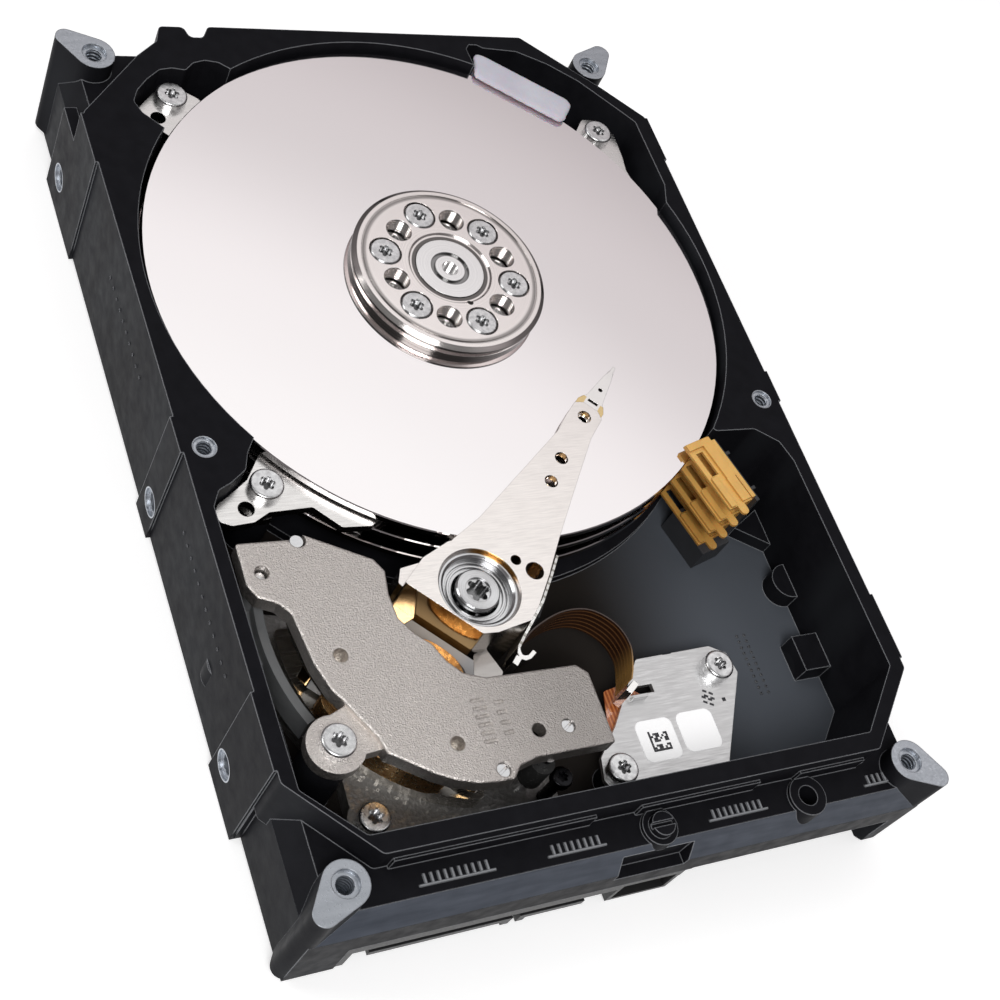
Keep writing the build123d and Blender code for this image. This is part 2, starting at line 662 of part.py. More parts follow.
def suspension(arm_face, disc_face):
    """One head suspension: base plate, load beam, flexure and lift tab."""
    toward = 1 if arm_face > disc_face else -1
    steps = [disc_face + toward * gap for gap in (0.30, 0.40, 0.52)]
    layers = [
        (steps[2], arm_face, [(34.9, 2.2), (40.3, 2.2), (40.3, -2.2), (34.9, -2.2)], 0.4),
        (steps[1], steps[2], LOAD_BEAM, 0.0),
        (steps[0], steps[1], [(48.2, 0.55), (50.2, 0.5), (50.2, -0.5), (48.2, -0.55)], 0.0),
    ]
    with BuildPart() as piece:
        for one_face, other_face, points, radius in layers:
            with BuildSketch(arm_plane(min(one_face, other_face))):
                outline(points, radius)
            extrude(amount=abs(one_face - other_face))
        with BuildSketch(arm_plane(min(steps[1], steps[2]) - 0.1)):
            with Locations((45.6, 0)):
                Circle(0.35)
            with Locations((42.5, 0)):
                Rectangle(0.5, 1.7)
            with Locations((37.9, 0)):
                Circle(0.9)
        extrude(amount=0.6, mode=Mode.SUBTRACT)
    return piece.part


half_arm = ARM_THICKNESS / 2
disc_faces = []
for level in range(3):
    top_face = DISC_TOP - level * DISC_PITCH
    disc_faces.append((ARM_HEIGHTS[level] - half_arm, top_face))
    disc_faces.append((ARM_HEIGHTS[level + 1] + half_arm, top_face - DISC_THICKNESS))
save(suspension(*disc_faces[0]), "suspension_top")
middle_suspensions = Compound(children=[suspension(*faces) for faces in disc_faces[1:5]])
save(middle_suspensions, "suspension_pairs")
save(suspension(*disc_faces[5]), "suspension_bottom")

with BuildPart() as head_sliders:
    for arm_face, disc_face in disc_faces:
        toward = 1 if arm_face > disc_face else -1
        with BuildSketch(arm_plane(min(disc_face + toward * 0.05, disc_face + toward * 0.30))):
            with Locations((49.3, 0)):
                Rectangle(1.25, 1.0)
        extrude(amount=0.25)
save(head_sliders.part, "head_sliders")

# flexible board on the right side of the arm block
arm_turn = radians(ARM_ANGLE)
ARM_SIDE = Plane(
    origin=(PIVOT[0], PIVOT[1], 0),
    x_dir=(cos(arm_turn), sin(arm_turn), 0),
    z_dir=(sin(arm_turn), -cos(arm_turn), 0),
)
FLEX_END = -1.65
FLEX_LOW_EDGE = 18.7
with BuildPart() as arm_flex:
    with BuildSketch(arm_plane(12.6)):
        outline([
            (12.6, -6.95), (9.2, -7.6), (2.95, -8.62), (0.0, -8.95), (FLEX_END, -9.1),
            (FLEX_END, -9.5), (0.0, -9.35), (2.95, -9.0), (9.2, -7.98), (12.6, -7.3),
        ])
    extrude(amount=10.2)
    # the upper edge falls towards the rear
    with BuildSketch(ARM_SIDE):
        outline([(4.8, 23.2), (-8.0, 23.2), (-8.0, FLEX_LOW_EDGE), (-1.2, FLEX_LOW_EDGE), (0.3, 19.2)])
    extrude(amount=20.0, mode=Mode.SUBTRACT)
save(arm_flex.part, "arm_flex")

# the amplifier chip lies on the flexible board, square to it
CHIP_REACH = hypot(6.0, 8.9)
CHIP_BEARING = ARM_ANGLE - degrees(atan2(8.9, 6.0))
with BuildPart() as preamp_chip:
    with BuildSketch(turned(about(PIVOT, CHIP_REACH, CHIP_BEARING), ARM_ANGLE + 9.3, 14.4)):
        with Locations((0.0, -0.1)):
            Rectangle(4.0, 0.7)
    extrude(amount=5.0)
save(preamp_chip.part, "preamp_chip")

# hook at the end of the flexible board, with its small clip
with BuildPart() as flex_anchor:
    with BuildSketch(arm_plane(14.0)):
        outline([
            (FLEX_END, -9.12), (-2.6, -9.5), (-3.2, -10.3), (-2.9, -11.1), (-2.1, -11.6), (-0.8, -11.8),
            (-0.7, -11.2), (-1.9, -11.0), (-2.3, -10.6), (-2.4, -10.2), (-2.0, -9.75), (FLEX_END, -9.5),
        ])
        with Locations((-3.7, -10.0)):
            Rectangle(1.5, 0.9)
    extrude(amount=FLEX_LOW_EDGE - 14.0)
save(flex_anchor.part, "flex_anchor")

# ---------------------------------------------------------------- moving flex loop
LOOP_LOW = 10.6
LOOP_TALL = 5.9
LOOP_THICK = 0.24
LOOP_PATH = [
    (-7.2, -38.7), (-3.9, -36.4), (1.2, -34.6), (5.8, -34.9),
    (9.1, -37.6), (10.2, -41.2), (9.3, -44.6), (8.3, -46.6),
]
with BuildPart() as flex_loop:
    with BuildSketch(flat_at(LOOP_LOW)):
        with BuildLine() as loop_line:
            Spline(*LOOP_PATH)
        trace(loop_line.line, line_width=LOOP_THICK)
    extrude(amount=LOOP_TALL)
save(flex_loop.part, "flex_loop")

# ---------------------------------------------------------------- voice coil magnets and yokes
def magnet_plane(height):
    """Horizontal plane on the pivot with world directions."""
    return turned(PIVOT, 0, height)


STOP_POSTS = [about(PIVOT, 26.3, 155.3), about(PIVOT, 25.0, 276.5)]
YOKE_SUPPORT = (-6.5, -52.0)
SMALL_YOKE_SCREW = (-8.6, -59.2)
UPPER_YOKE_OUTLINE = [
    (-46.8, -20.6), (-39.3, -20.9), (-36.9, -20.4), (-28.0, -25.4), (-26.9, -27.4), (-27.5, -31.0),
    (-27.3, -34.7), (-25.7, -37.2), (-23.7, -39.2), (-22.5, -41.9), (-20.7, -44.0), (-17.7, -45.2),
    (-3.6, -45.5), (-2.1, -47.0), (-2.0, -57.7), (-14.3, -57.7), (-17.2, -58.4), (-18.6, -60.0),
    (-21.2, -60.0), (-23.8, -59.7), (-26.8, -58.7), (-29.3, -57.4), (-35.0, -53.4), (-35.6, -51.0),
    (-38.5, -45.6), (-39.9, -43.4), (-41.1, -39.4), (-41.7, -34.4), (-42.0, -32.0), (-43.4, -30.2),
    (-45.9, -29.0), (-46.9, -27.0),
]
with BuildPart() as upper_yoke:
    with BuildSketch(flat_at(UPPER_YOKE_BOTTOM)):
        outline(UPPER_YOKE_OUTLINE, 0.5)
    extrude(amount=UPPER_YOKE_TOP - UPPER_YOKE_BOTTOM)
    fillet(edges().group_by(Axis.Z)[-1], 0.35)
    # lower ear for the big screw
    with BuildSketch(flat_at(19.7)):
        outline([(-38.2, -45.6), (-42.0, -47.0), (-44.0, -51.0), (-40.5, -54.2), (-37.4, -52.6),
                 (-34.6, -52.4), (-33.0, -50.0), (-36.0, -45.0)], 0.9)
        with Locations(YOKE_EAR_SCREW):
            Circle(4.1)
    extrude(amount=2.0)
    with BuildSketch(magnet_plane(19.0)):
        Circle(27.5)
    extrude(amount=UPPER_YOKE_BOTTOM - 19.0, mode=Mode.SUBTRACT)
    # holes and the notch for the stop post
    with BuildSketch(flat_at(18.0)):
        with Locations((-37.1, -38.9), (-25.0, -53.8), (-12.8, -54.0), (-8.2, -54.1), (-19.8, -58.5)):
            Circle(1.05)
        with Locations(LATCH_PIN):
            Circle(1.05)
        with Locations(STOP_POSTS[0]):
            Circle(1.25)
            Rectangle(1.7, 3.4, align=(Align.CENTER, Align.MIN))
        with Locations(YOKE_EAR_SCREW):
            Circle(1.3)
    extrude(amount=8.0, mode=Mode.SUBTRACT)
    # plain stamped tally bars
    with BuildSketch(flat_at(UPPER_YOKE_TOP - 0.18)):
        with Locations((-20.2, -51.3)):
            with GridLocations(1.0, 1.2, 1, 6):
                Rectangle(2.0, 0.45)
        with Locations((-17.2, -51.3)):
            with GridLocations(1.0, 1.5, 1, 4):
                Rectangle(1.4, 0.5)
    extrude(amount=1.0, mode=Mode.SUBTRACT)
save(upper_yoke.part, "upper_yoke")

with BuildPart() as upper_magnet:
    with BuildSketch(magnet_plane(18.2)):
        ring_sector(14.2, 27.2, 176, 258)
        fillet(vertices(), 1.0)
    extrude(amount=UPPER_YOKE_BOTTOM - 18.2)
save(upper_magnet.part, "upper_magnet")

with BuildPart() as lower_yoke:
    with BuildSketch(magnet_plane(BAY_FLOOR)):
        ring_sector(12.6, 29.0, 166, 269)
    extrude(amount=LOWER_YOKE_TOP - BAY_FLOOR)
    with BuildSketch(flat_at(BAY_FLOOR)):
        outline([(-36.6, -49.0), (-36.9, -55.6), (-33.6, -60.9), (-25.0, -60.8),
                 (-6.6, -61.2), (-5.6, -56.0), (-16.0, -50.0), (-30.0, -42.0)], 1.0)
        with Locations(LOWER_YOKE_SCREW):
            Circle(3.5)
        with Locations(YOKE_SUPPORT):
            Circle(2.5, mode=Mode.SUBTRACT)
    extrude(amount=LOWER_YOKE_TOP - BAY_FLOOR)
    with BuildSketch(flat_at(BAY_FLOOR - 1)):
        with Locations(YOKE_EAR_SCREW):
            Circle(3.6)
        with Locations(LOWER_YOKE_SCREW):
            Circle(1.2)
        with Locations(SMALL_YOKE_SCREW):
            Circle(0.95)
    extrude(amount=6.0, mode=Mode.SUBTRACT)
save(lower_yoke.part, "lower_yoke")

with BuildPart() as lower_magnet:
    with BuildSketch(magnet_plane(LOWER_YOKE_TOP)):
        ring_sector(14.2, 27.2, 174, 260)
        fillet(vertices(), 1.0)
    extrude(amount=3.0)
save(lower_magnet.part, "lower_magnet")

with BuildPart() as yoke_standoffs:
    with BuildSketch(flat_at(LOWER_YOKE_TOP)):
        with Locations(STOP_POSTS[0]):
            Circle(0.95)
    extrude(amount=22.2 - LOWER_YOKE_TOP)
    with BuildSketch(flat_at(LOWER_YOKE_TOP)):
        with Locations(STOP_POSTS[1]):
            Circle(0.95)
    extrude(amount=UPPER_YOKE_BOTTOM - LOWER_YOKE_TOP)
    with BuildSketch(flat_at(BAY_FLOOR)):
        with Locations(YOKE_SUPPORT):
            Circle(2.2)
    extrude(amount=UPPER_YOKE_BOTTOM - BAY_FLOOR)
    # slotted locating pins standing in the yoke
    with BuildSketch(flat_at(UPPER_YOKE_BOTTOM)):
        with Locations((-8.2, -54.1), (-19.8, -58.5)):
            Circle(1.0)
    extrude(amount=2.2)
    with BuildSketch(flat_at(21.9)):
        with Locations((-8.2, -54.1), (-19.8, -58.5)):
            Rectangle(2.2, 0.35, rotation=30)
    extrude(amount=1.0, mode=Mode.SUBTRACT)
save(yoke_standoffs.part, "yoke_standoffs")

with BuildPart() as crash_stops:
    with BuildSketch(flat_at(13.0)):
        with Locations(*STOP_POSTS):
            Circle(1.8)
            Circle(0.97, mode=Mode.SUBTRACT)
    extrude(amount=5.0)
save(crash_stops.part, "crash_stops")


def pan_screw(position, seat, head_radius, head_height, shank_radius, shank_length, socket):
    """Pan-head screw with a six-lobed recess, added to the open part."""
    with BuildPart(mode=Mode.PRIVATE) as screw:
        with BuildSketch(flat_at(seat)):
            with Locations(position):
                Circle(head_radius)
        extrude(amount=head_height)
        fillet(edges().group_by(Axis.Z)[-1], head_height * 0.28)
        with BuildSketch(flat_at(seat - shank_length)):
            with Locations(position):
                Circle(shank_radius)
        extrude(amount=shank_length)
        with BuildSketch(flat_at(seat + head_height * 0.35)):
            star_recess(position, socket, Mode.ADD)
        extrude(amount=head_height, mode=Mode.SUBTRACT)
    return screw.part


ear_screw = pan_screw(YOKE_EAR_SCREW, 21.7, 2.45, 1.5, 1.08, 9.0, 1.15)
low_screw = pan_screw(LOWER_YOKE_SCREW, LOWER_YOKE_TOP, 2.3, 1.5, 1.15, 2.9, 1.15)
small_screw = pan_screw(SMALL_YOKE_SCREW, 16.0, 1.6, 1.2, 0.9, 8.9, 0.8)
save(Compound(children=[ear_screw, low_screw, small_screw]), "yoke_screws")

with BuildPart() as latch_pin:
    with BuildSketch(flat_at(BAY_FLOOR)):
        with Locations(LATCH_PIN):
            Circle(1.6)
    extrude(amount=3.5)
    with BuildSketch(flat_at(BAY_FLOOR)):
        with Locations(LATCH_PIN):
            Circle(0.75)
    extrude(amount=UPPER_YOKE_BOTTOM + 1.2 - BAY_FLOOR)
save(latch_pin.part, "latch_pin")

LATCH_LOW = 12.2
with BuildPart() as inertia_latch:
    with BuildSketch(flat_at(LATCH_LOW)):
        with Locations(LATCH_PIN):
            Circle(1.65)
    extrude(amount=6.0)
    with BuildSketch(magnet_plane(LATCH_LOW)):
        ring_sector(29.5, 30.8, 168, 205.5)
    extrude(amount=4.6)
    # scalloped web between the hub and the long arm
    with BuildSketch(flat_at(LATCH_LOW)):
        outline([(-45.9, -25.6), (-46.8, -29.5), (-46.2, -32.5), (-44.6, -35.6), (-43.9, -35.2),
                 (-43.8, -31.0), (-43.2, -27.6), (-43.2, -25.0)], 0.3)
    extrude(amount=2.6)
    with BuildSketch(flat_at(LATCH_LOW - 1)):
        with Locations(LATCH_PIN):
            Circle(0.80)
    extrude(amount=9.0, mode=Mode.SUBTRACT)
    with BuildSketch(magnet_plane(LATCH_LOW - 1)):
        Circle(29.3)
    extrude(amount=9.0, mode=Mode.SUBTRACT)
save(inertia_latch.part, "inertia_latch")

# ---------------------------------------------------------------- damper plates
# ears of the upper plate: right, far left and the long tail
UPPER_EARS = [
    [
        (33.5, 49.5), (39.8, 57.2), (42.9, 57.1), (45.1, 53.8),
        (44.8, 48.6), (44.3, 45.6), (45.1, 39.5), (42.0, 38.0),
    ],
    [
        (-27.0, 56.0), (-30.0, 61.0), (-32.6, 63.0), (-35.0, 63.1), (-37.0, 62.1),
        (-39.9, 59.2), (-40.6, 57.6), (-39.6, 56.2), (-37.6, 54.2), (-34.0, 50.5),
    ],
    [
        (-38.0, -5.0), (-41.2, -9.4), (-44.4, -11.6), (-46.4, -12.8), (-47.2, -14.2),
        (-46.8, -15.6), (-45.2, -16.4), (-42.0, -16.2), (-39.5, -14.9), (-33.0, -14.8),
        (-29.6, -18.5), (-25.2, -18.8), (-20.0, -16.0), (-24.0, -4.0),
    ],
]
DAMPER_RING = (24.0, 47.0, 36.0, 238.0)      # inner and outer radius, first and last angle

with BuildPart() as damper_upper:
    with BuildSketch(turned(SPINDLE, 0, UPPER_DAMPER_Z)):
        ring_sector(*DAMPER_RING)
    extrude(amount=DAMPER_THICKNESS)
    for ear in UPPER_EARS:
        with BuildSketch(flat_at(UPPER_DAMPER_Z)):
            outline(ear, 0.7)
        extrude(amount=DAMPER_THICKNESS)
    with BuildSketch(flat_at(UPPER_DAMPER_Z - 1)):
        with Locations(*[about(SPINDLE, EAR_RADIUS, angle) for angle in EAR_ANGLES]):
            Circle(1.2)
        with Locations((-42.6, -14.0), (-37.5, 56.9)):
            Circle(1.2)
    extrude(amount=4.0, mode=Mode.SUBTRACT)
save(damper_upper.part, "damper_upper")

with BuildPart() as damper_lower:
    with BuildSketch(turned(SPINDLE, 0, LOWER_DAMPER_Z)):
        ring_sector(*DAMPER_RING)
        for angle in EAR_ANGLES:
            with Locations(about((0, 0), EAR_RADIUS - 3.6, angle)):
                Rectangle(7.4, 2 * EAR_HALF - 0.8, rotation=angle)
            with Locations(about((0, 0), EAR_RADIUS, angle)):
                Circle(EAR_HALF)
    extrude(amount=DAMPER_THICKNESS)
    # pads that carry the upper plate
    with BuildSketch(flat_at(LOWER_DAMPER_Z)):
        with Locations(*[about(SPINDLE, EAR_RADIUS, angle) for angle in EAR_ANGLES]):
            Circle(2.6)
    extrude(amount=UPPER_DAMPER_Z - LOWER_DAMPER_Z)
    with BuildSketch(flat_at(LOWER_DAMPER_Z - 1)):
        with Locations(*[about(SPINDLE, EAR_RADIUS, angle) for angle in EAR_ANGLES]):
            Circle(1.2)
    extrude(amount=6.0, mode=Mode.SUBTRACT)
save(damper_lower.part, "damper_lower")

DAMPER_SEAT = UPPER_DAMPER_Z + DAMPER_THICKNESS
damper_screw_list = []
for angle in EAR_ANGLES:
    ear_place = about(SPINDLE, EAR_RADIUS, angle)
    damper_screw_list.append(pan_screw(ear_place, DAMPER_SEAT, 2.5, 1.4, 1.08, 9.5, 1.15))
save(Compound(children=damper_screw_list), "damper_screws")

# ---------------------------------------------------------------- load ramp
def ramp_plane(height):
    """Horizontal plane with the first axis from the pivot to the ramp."""
    return turned(PIVOT, RAMP_ANGLE, height)


FINGER_HALF = 0.42
RAMP_FOOT = ARM_HEIGHTS[3] - FINGER_HALF
with BuildPart() as load_ramp:
    for height in ARM_HEIGHTS:
        with BuildSketch(ramp_plane(height - FINGER_HALF)):
            with Locations((49.4, 1.0)):
                Rectangle(5.0, 12.4)
            with Locations((49.3, -5.4)):
                Rectangle(1.5, 1.5)
            with Locations((49.3, -6.15)):
                Circle(0.75)
            with Locations((48.6, 3.0)):
                Rectangle(1.4, 4.4, mode=Mode.SUBTRACT)
        extrude(amount=0.45)
        with BuildSketch(ramp_plane(height - FINGER_HALF + 0.45)):
            with Locations((47.75, -2.3)):
                RectangleRounded(1.2, 5.6, 0.3)
            with Locations((50.7, -2.7)):
                Rectangle(1.8, 4.4)
            with Locations((50.9, 3.2)):
                Rectangle(2.0, 7.6)
            with Locations((48.4, 6.5)):
                Rectangle(3.0, 1.2)
        extrude(amount=2 * FINGER_HALF - 0.45)
    # back wall
    with BuildSketch(ramp_plane(RAMP_FOOT)):
        with Locations((52.2, 0.6)):
            Rectangle(0.8, 11.2)
    extrude(amount=BLOCK_TOP - 0.1 - RAMP_FOOT)
save(load_ramp.part, "load_ramp")

with BuildPart() as ramp_bracket:
    with BuildSketch(ramp_plane(BAY_FLOOR)):
        with Locations((52.95, 0.3)):
            Rectangle(0.7, 12.0)
    extrude(amount=22.6 - BAY_FLOOR)
    with BuildSketch(ramp_plane(BAY_FLOOR)):
        with Locations((49.9, -2.6)):
            Rectangle(6.0, 8.4)
    extrude(amount=RAMP_FOOT - BAY_FLOOR)
    with BuildSketch(ramp_plane(21.0)):
        with Locations((54.1, 3.7), (54.1, -3.2)):
            Rectangle(1.7, 0.55)
    extrude(amount=0.7)
save(ramp_bracket.part, "ramp_bracket")

# ---------------------------------------------------------------- recirculation filter
FILTER_LIP = 21.95
FILTER_TOP = 22.7
with BuildPart() as recirculation_filter:
    with BuildSketch(turned(SPINDLE, FILTER_ANGLE, WELL_FLOOR)):
        outline([(48.4, -8.0), (51.2, -8.0), (51.2, 10.0), (48.4, 10.0)], 0.9)
    extrude(amount=FILTER_TOP - WELL_FLOOR)
    with BuildSketch(turned(SPINDLE, FILTER_ANGLE, FILTER_LIP)):
        outline([(45.6, 9.3), (50.2, 11.0), (51.2, 10.8), (51.6, 9.6), (51.6, -7.0), (50.6, -8.1),
                 (46.2, -8.0), (45.3, -7.0)], 0.35)
    extrude(amount=FILTER_TOP - FILTER_LIP)
    fillet(edges().group_by(Axis.Z)[-1], 0.3)
save(recirculation_filter.part, "recirculation_filter")

# ---------------------------------------------------------------- flex bracket, its screws and labels
PLATE_OUTLINE = [
    (13.8, -41.6), (27.2, -41.4), (29.8, -43.0), (30.4, -46.4), (21.6, -61.6), (9.4, -62.2), (2.6, -61.9),
    (1.2, -59.0), (2.0, -55.6), (6.2, -51.3),
]
with BuildPart() as flex_bracket:
    with BuildSketch(flat_at(BRACKET_TOP - BRACKET_THICKNESS)):
        outline(PLATE_OUTLINE, 0.7)
        with Locations((12.6, -46.5)):
            Rectangle(4.4, 1.3, mode=Mode.SUBTRACT)
        with Locations((19.4, -41.2)):
            Rectangle(1.6, 0.8, mode=Mode.SUBTRACT)
        with Locations(*BRACKET_SCREWS):
            Circle(1.2, mode=Mode.SUBTRACT)
    extrude(amount=BRACKET_THICKNESS)
    # hook that steadies the flex loop
    with BuildSketch(flat_at(BRACKET_TOP - 0.3)):
        with Locations((11.5, -47.8)):
            Rectangle(2.6, 0.5)
    extrude(amount=1.4)
save(flex_bracket.part, "flex_bracket")

bracket_screw_list = [pan_screw(place, BRACKET_TOP, 2.4, 1.8, 1.08, 2.9, 1.1) for place in BRACKET_SCREWS]
save(Compound(children=bracket_screw_list), "bracket_screws")

LABEL_TOP = BRACKET_TOP + 0.08
with BuildPart() as bracket_labels:
    with BuildSketch(flat_at(BRACKET_TOP)):
        with Locations((12.3, -54.6)):
            RectangleRounded(6.3, 6.5, 1.2)
        with Locations((19.6, -54.3)):
            RectangleRounded(6.3, 6.3, 1.2)
    extrude(amount=LABEL_TOP - BRACKET_TOP)
save(bracket_labels.part, "bracket_labels")

# plain alternating cells, no code and no lettering
CELL = 0.36
with BuildPart() as label_print:
    with BuildSketch(flat_at(LABEL_TOP)):
        for row in range(9):
            for column in range(9):
                if (row * row + 3 * column * row + column) % 5 in (0, 2, 3) or column == 0 or row == 0:
                    with Locations((11.0 + CELL * column, -56.2 + CELL * row)):
                        Rectangle(CELL * 0.96, CELL * 0.96)
    extrude(amount=0.03)
    with BuildSketch(turned((23.4, -49.6), 60, BRACKET_TOP)):
        for row in range(6):
            for column in range(6):
                if (row * 2 + column * column + row * column) % 3 != 1:
                    with Locations((CELL * (column - 2.5), CELL * (row - 2.5))):
                        Rectangle(CELL * 0.96, CELL * 0.96)
    extrude(amount=0.03)
    with BuildSketch(flat_at(BRACKET_TOP)):
        with Locations((26.0, -50.3)):
            Rectangle(0.6, 0.6)
    extrude(amount=0.03)
save(label_print.part, "label_print")

with BuildPart() as flex_tail:
    with BuildSketch(flat_at(BRACKET_TOP - BRACKET_THICKNESS - 0.3)):
        outline([(7.0, -45.4), (10.6, -44.8), (16.0, -49.6), (22.0, -50.4), (24.4, -51.8), (24.4, -55.8),
                 (9.4, -56.2), (7.0, -55.0), (5.2, -52.0)], 0.5)
    extrude(amount=0.2)
save(flex_tail.part, "flex_tail")

with BuildPart() as flex_clip:
    with BuildSketch(flat_at(BRACKET_TOP)):
        with Locations((8.4, -47.6)):
            Rectangle(2.2, 1.0, rotation=35)
    extrude(amount=4.7)
save(flex_clip.part, "flex_clip")

with BuildPart() as head_connector:
    with BuildSketch(flat_at(3.4)):
        with Locations((17.0, -53.0)):
            Rectangle(16.6, 6.6)
    extrude(amount=BRACKET_TOP - BRACKET_THICKNESS - 0.32 - 3.4)
    with BuildSketch(flat_at(3.0)):
        with Locations((17.0, -53.0)):
            with GridLocations(1.0, 3.6, 14, 2):
                Rectangle(0.5, 1.4)
    extrude(amount=1.2, mode=Mode.SUBTRACT)
save(head_connector.part, "head_connector")

# ---------------------------------------------------------------- circuit board under the base
BOARD_OUTLINE = [
    (-42.6, -63.8), (42.6, -63.8), (42.6, -14.0), (36.0, -6.0),
    (30.0, 4.0), (-30.0, 4.0), (-36.0, -6.0), (-42.6, -14.0),
]
BOARD_SCREWS = [(-38.0, -22.0), (38.0, -22.0), (36.0, -58.0), (-20.0, 0.5), (20.0, 0.5)]
with BuildPart() as circuit_board:
    with BuildSketch(flat_at(BOARD_BOTTOM)):
        outline(BOARD_OUTLINE, 1.0)
        with Locations(SPINDLE):
            Circle(19.0, mode=Mode.SUBTRACT)
        with Locations(*BOARD_SCREWS):
            Circle(1.6, mode=Mode.SUBTRACT)
    extrude(amount=BOARD_TOP - BOARD_BOTTOM)
save(circuit_board.part, "circuit_board")

board_screw_parts = []
for place in BOARD_SCREWS:
    with BuildPart() as board_screw:
        with BuildSketch(flat_at(BOARD_BOTTOM - 0.7)):
            with Locations(place):
                Circle(2.4)
        extrude(amount=0.7)
        with BuildSketch(flat_at(BOARD_BOTTOM)):
            with Locations(place):
                Circle(1.5)
        extrude(amount=BOARD_TOP - BOARD_BOTTOM)
        with BuildSketch(flat_at(BOARD_BOTTOM - 0.8)):
            star_recess(place, 1.0, Mode.ADD)
        extrude(amount=0.5, mode=Mode.SUBTRACT)
    board_screw_parts.append(board_screw.part)
save(Compound(children=board_screw_parts), "board_screws")

with BuildPart() as insulation_pad:
    with BuildSketch(flat_at(4.35)):
        with Locations((-13.5, -34.0)):
            RectangleRounded(42.0, 40.0, 3.0)
    extrude(amount=0.6)
save(insulation_pad.part, "insulation_pad")

CHIPS = [
    ("controller_chip", (-12.0, -38.0), 15.0, 15.0, 1.3),
    ("memory_chip", (-30.0, -34.0), 8.0, 12.5, 1.1),
    ("motor_driver_chip", (22.0, -30.0), 9.0, 9.0, 1.0),
]
for name, place, chip_width, chip_length, chip_height in CHIPS:
    with BuildPart() as chip:
        with BuildSketch(flat_at(BOARD_TOP)):
            with Locations(place):
                Rectangle(chip_width, chip_length)
        extrude(amount=chip_height)
        chamfer(edges().group_by(Axis.Z)[-1], 0.2)
    save(chip.part, name)

with BuildPart() as board_components:
    with BuildSketch(flat_at(BOARD_TOP)):
        with Locations((14.0, -14.0)):
            with GridLocations(2.4, 2.6, 6, 3):
                Rectangle(1.6, 0.9)
        with Locations((30.0, -44.0)):
            with GridLocations(2.6, 3.0, 3, 4):
                Rectangle(1.7, 1.9)
        with Locations((-14.0, -14.0)):
            with GridLocations(3.0, 2.4, 7, 2):
                Rectangle(0.9, 1.6)
        with Locations((6.0, -22.0)):
            Rectangle(3.2, 2.5)
    extrude(amount=0.9)
save(board_components.part, "board_components")

with BuildPart() as motor_lead:
    with BuildSketch(flat_at(2.5)):
        with Locations((0.0, 7.5)):
            Rectangle(5.0, 11.0)
    extrude(amount=0.25)
save(motor_lead.part, "motor_lead")

# ---------------------------------------------------------------- rear connector
with BuildPart() as sata_housing:
    # back wall and roof
    with BuildSketch(flat_at(BOARD_TOP + 0.05)):
        with Locations((-15.45, -65.2)):
            Rectangle(52.9, 1.4)
    extrude(amount=CONNECTOR_TOP - BOARD_TOP - 0.1)
    with BuildSketch(flat_at(5.0)):
        with Locations((-15.45, -69.4)):
            Rectangle(52.9, 7.4)
    extrude(amount=CONNECTOR_TOP - 0.05 - 5.0)
    # power tongue and signal tongue with their keys
    with BuildSketch(flat_at(2.3)):
        with Locations((-27.2, -69.4)):
            Rectangle(20.6, 7.4)
        with Locations((-9.3, -69.4)):
            Rectangle(10.0, 7.4)
    extrude(amount=1.25)
    with BuildSketch(flat_at(1.2)):
        with Locations((-16.4, -69.4), (-14.0, -69.4)):
            Rectangle(1.2, 7.4)
    extrude(amount=2.3)
    # guide leg at the left and jumper box at the right
    with BuildSketch(flat_at(0.4)):
        with Locations((-41.1, -69.4)):
            Rectangle(1.4, 7.4)
    extrude(amount=6.0)
    with BuildSketch(flat_at(0.5)):
        with Locations((5.6, -69.0)):
            Rectangle(10.4, 8.2)
    extrude(amount=6.0)
    with BuildSketch(Plane.XZ.offset(66.6)):
        with Locations((5.6, 3.6)):
            Rectangle(9.0, 4.8)
    extrude(amount=8.0, mode=Mode.SUBTRACT)
save(sata_housing.part, "sata_housing")

with BuildPart() as sata_contacts:
    with BuildSketch(flat_at(3.55)):
        with Locations((-27.2, -69.3)):
            with GridLocations(1.27, 1.0, 15, 1):
                Rectangle(0.8, 6.6)
        with Locations((-9.3, -69.3)):
            with GridLocations(1.27, 1.0, 7, 1):
                Rectangle(0.8, 6.6)
    extrude(amount=0.12)
    with BuildSketch(Plane.XZ.offset(66.6)):
        with Locations((5.6, 3.6)):
            with GridLocations(2.0, 2.0, 4, 2):
                Rectangle(0.5, 0.5)
    extrude(amount=5.6)
save(sata_contacts.part, "sata_contacts")
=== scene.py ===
"""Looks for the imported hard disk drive: materials, coil, ribbon, filter pouch, pips, light and camera."""
import json
import math

import bpy
from mathutils import Matrix, Vector


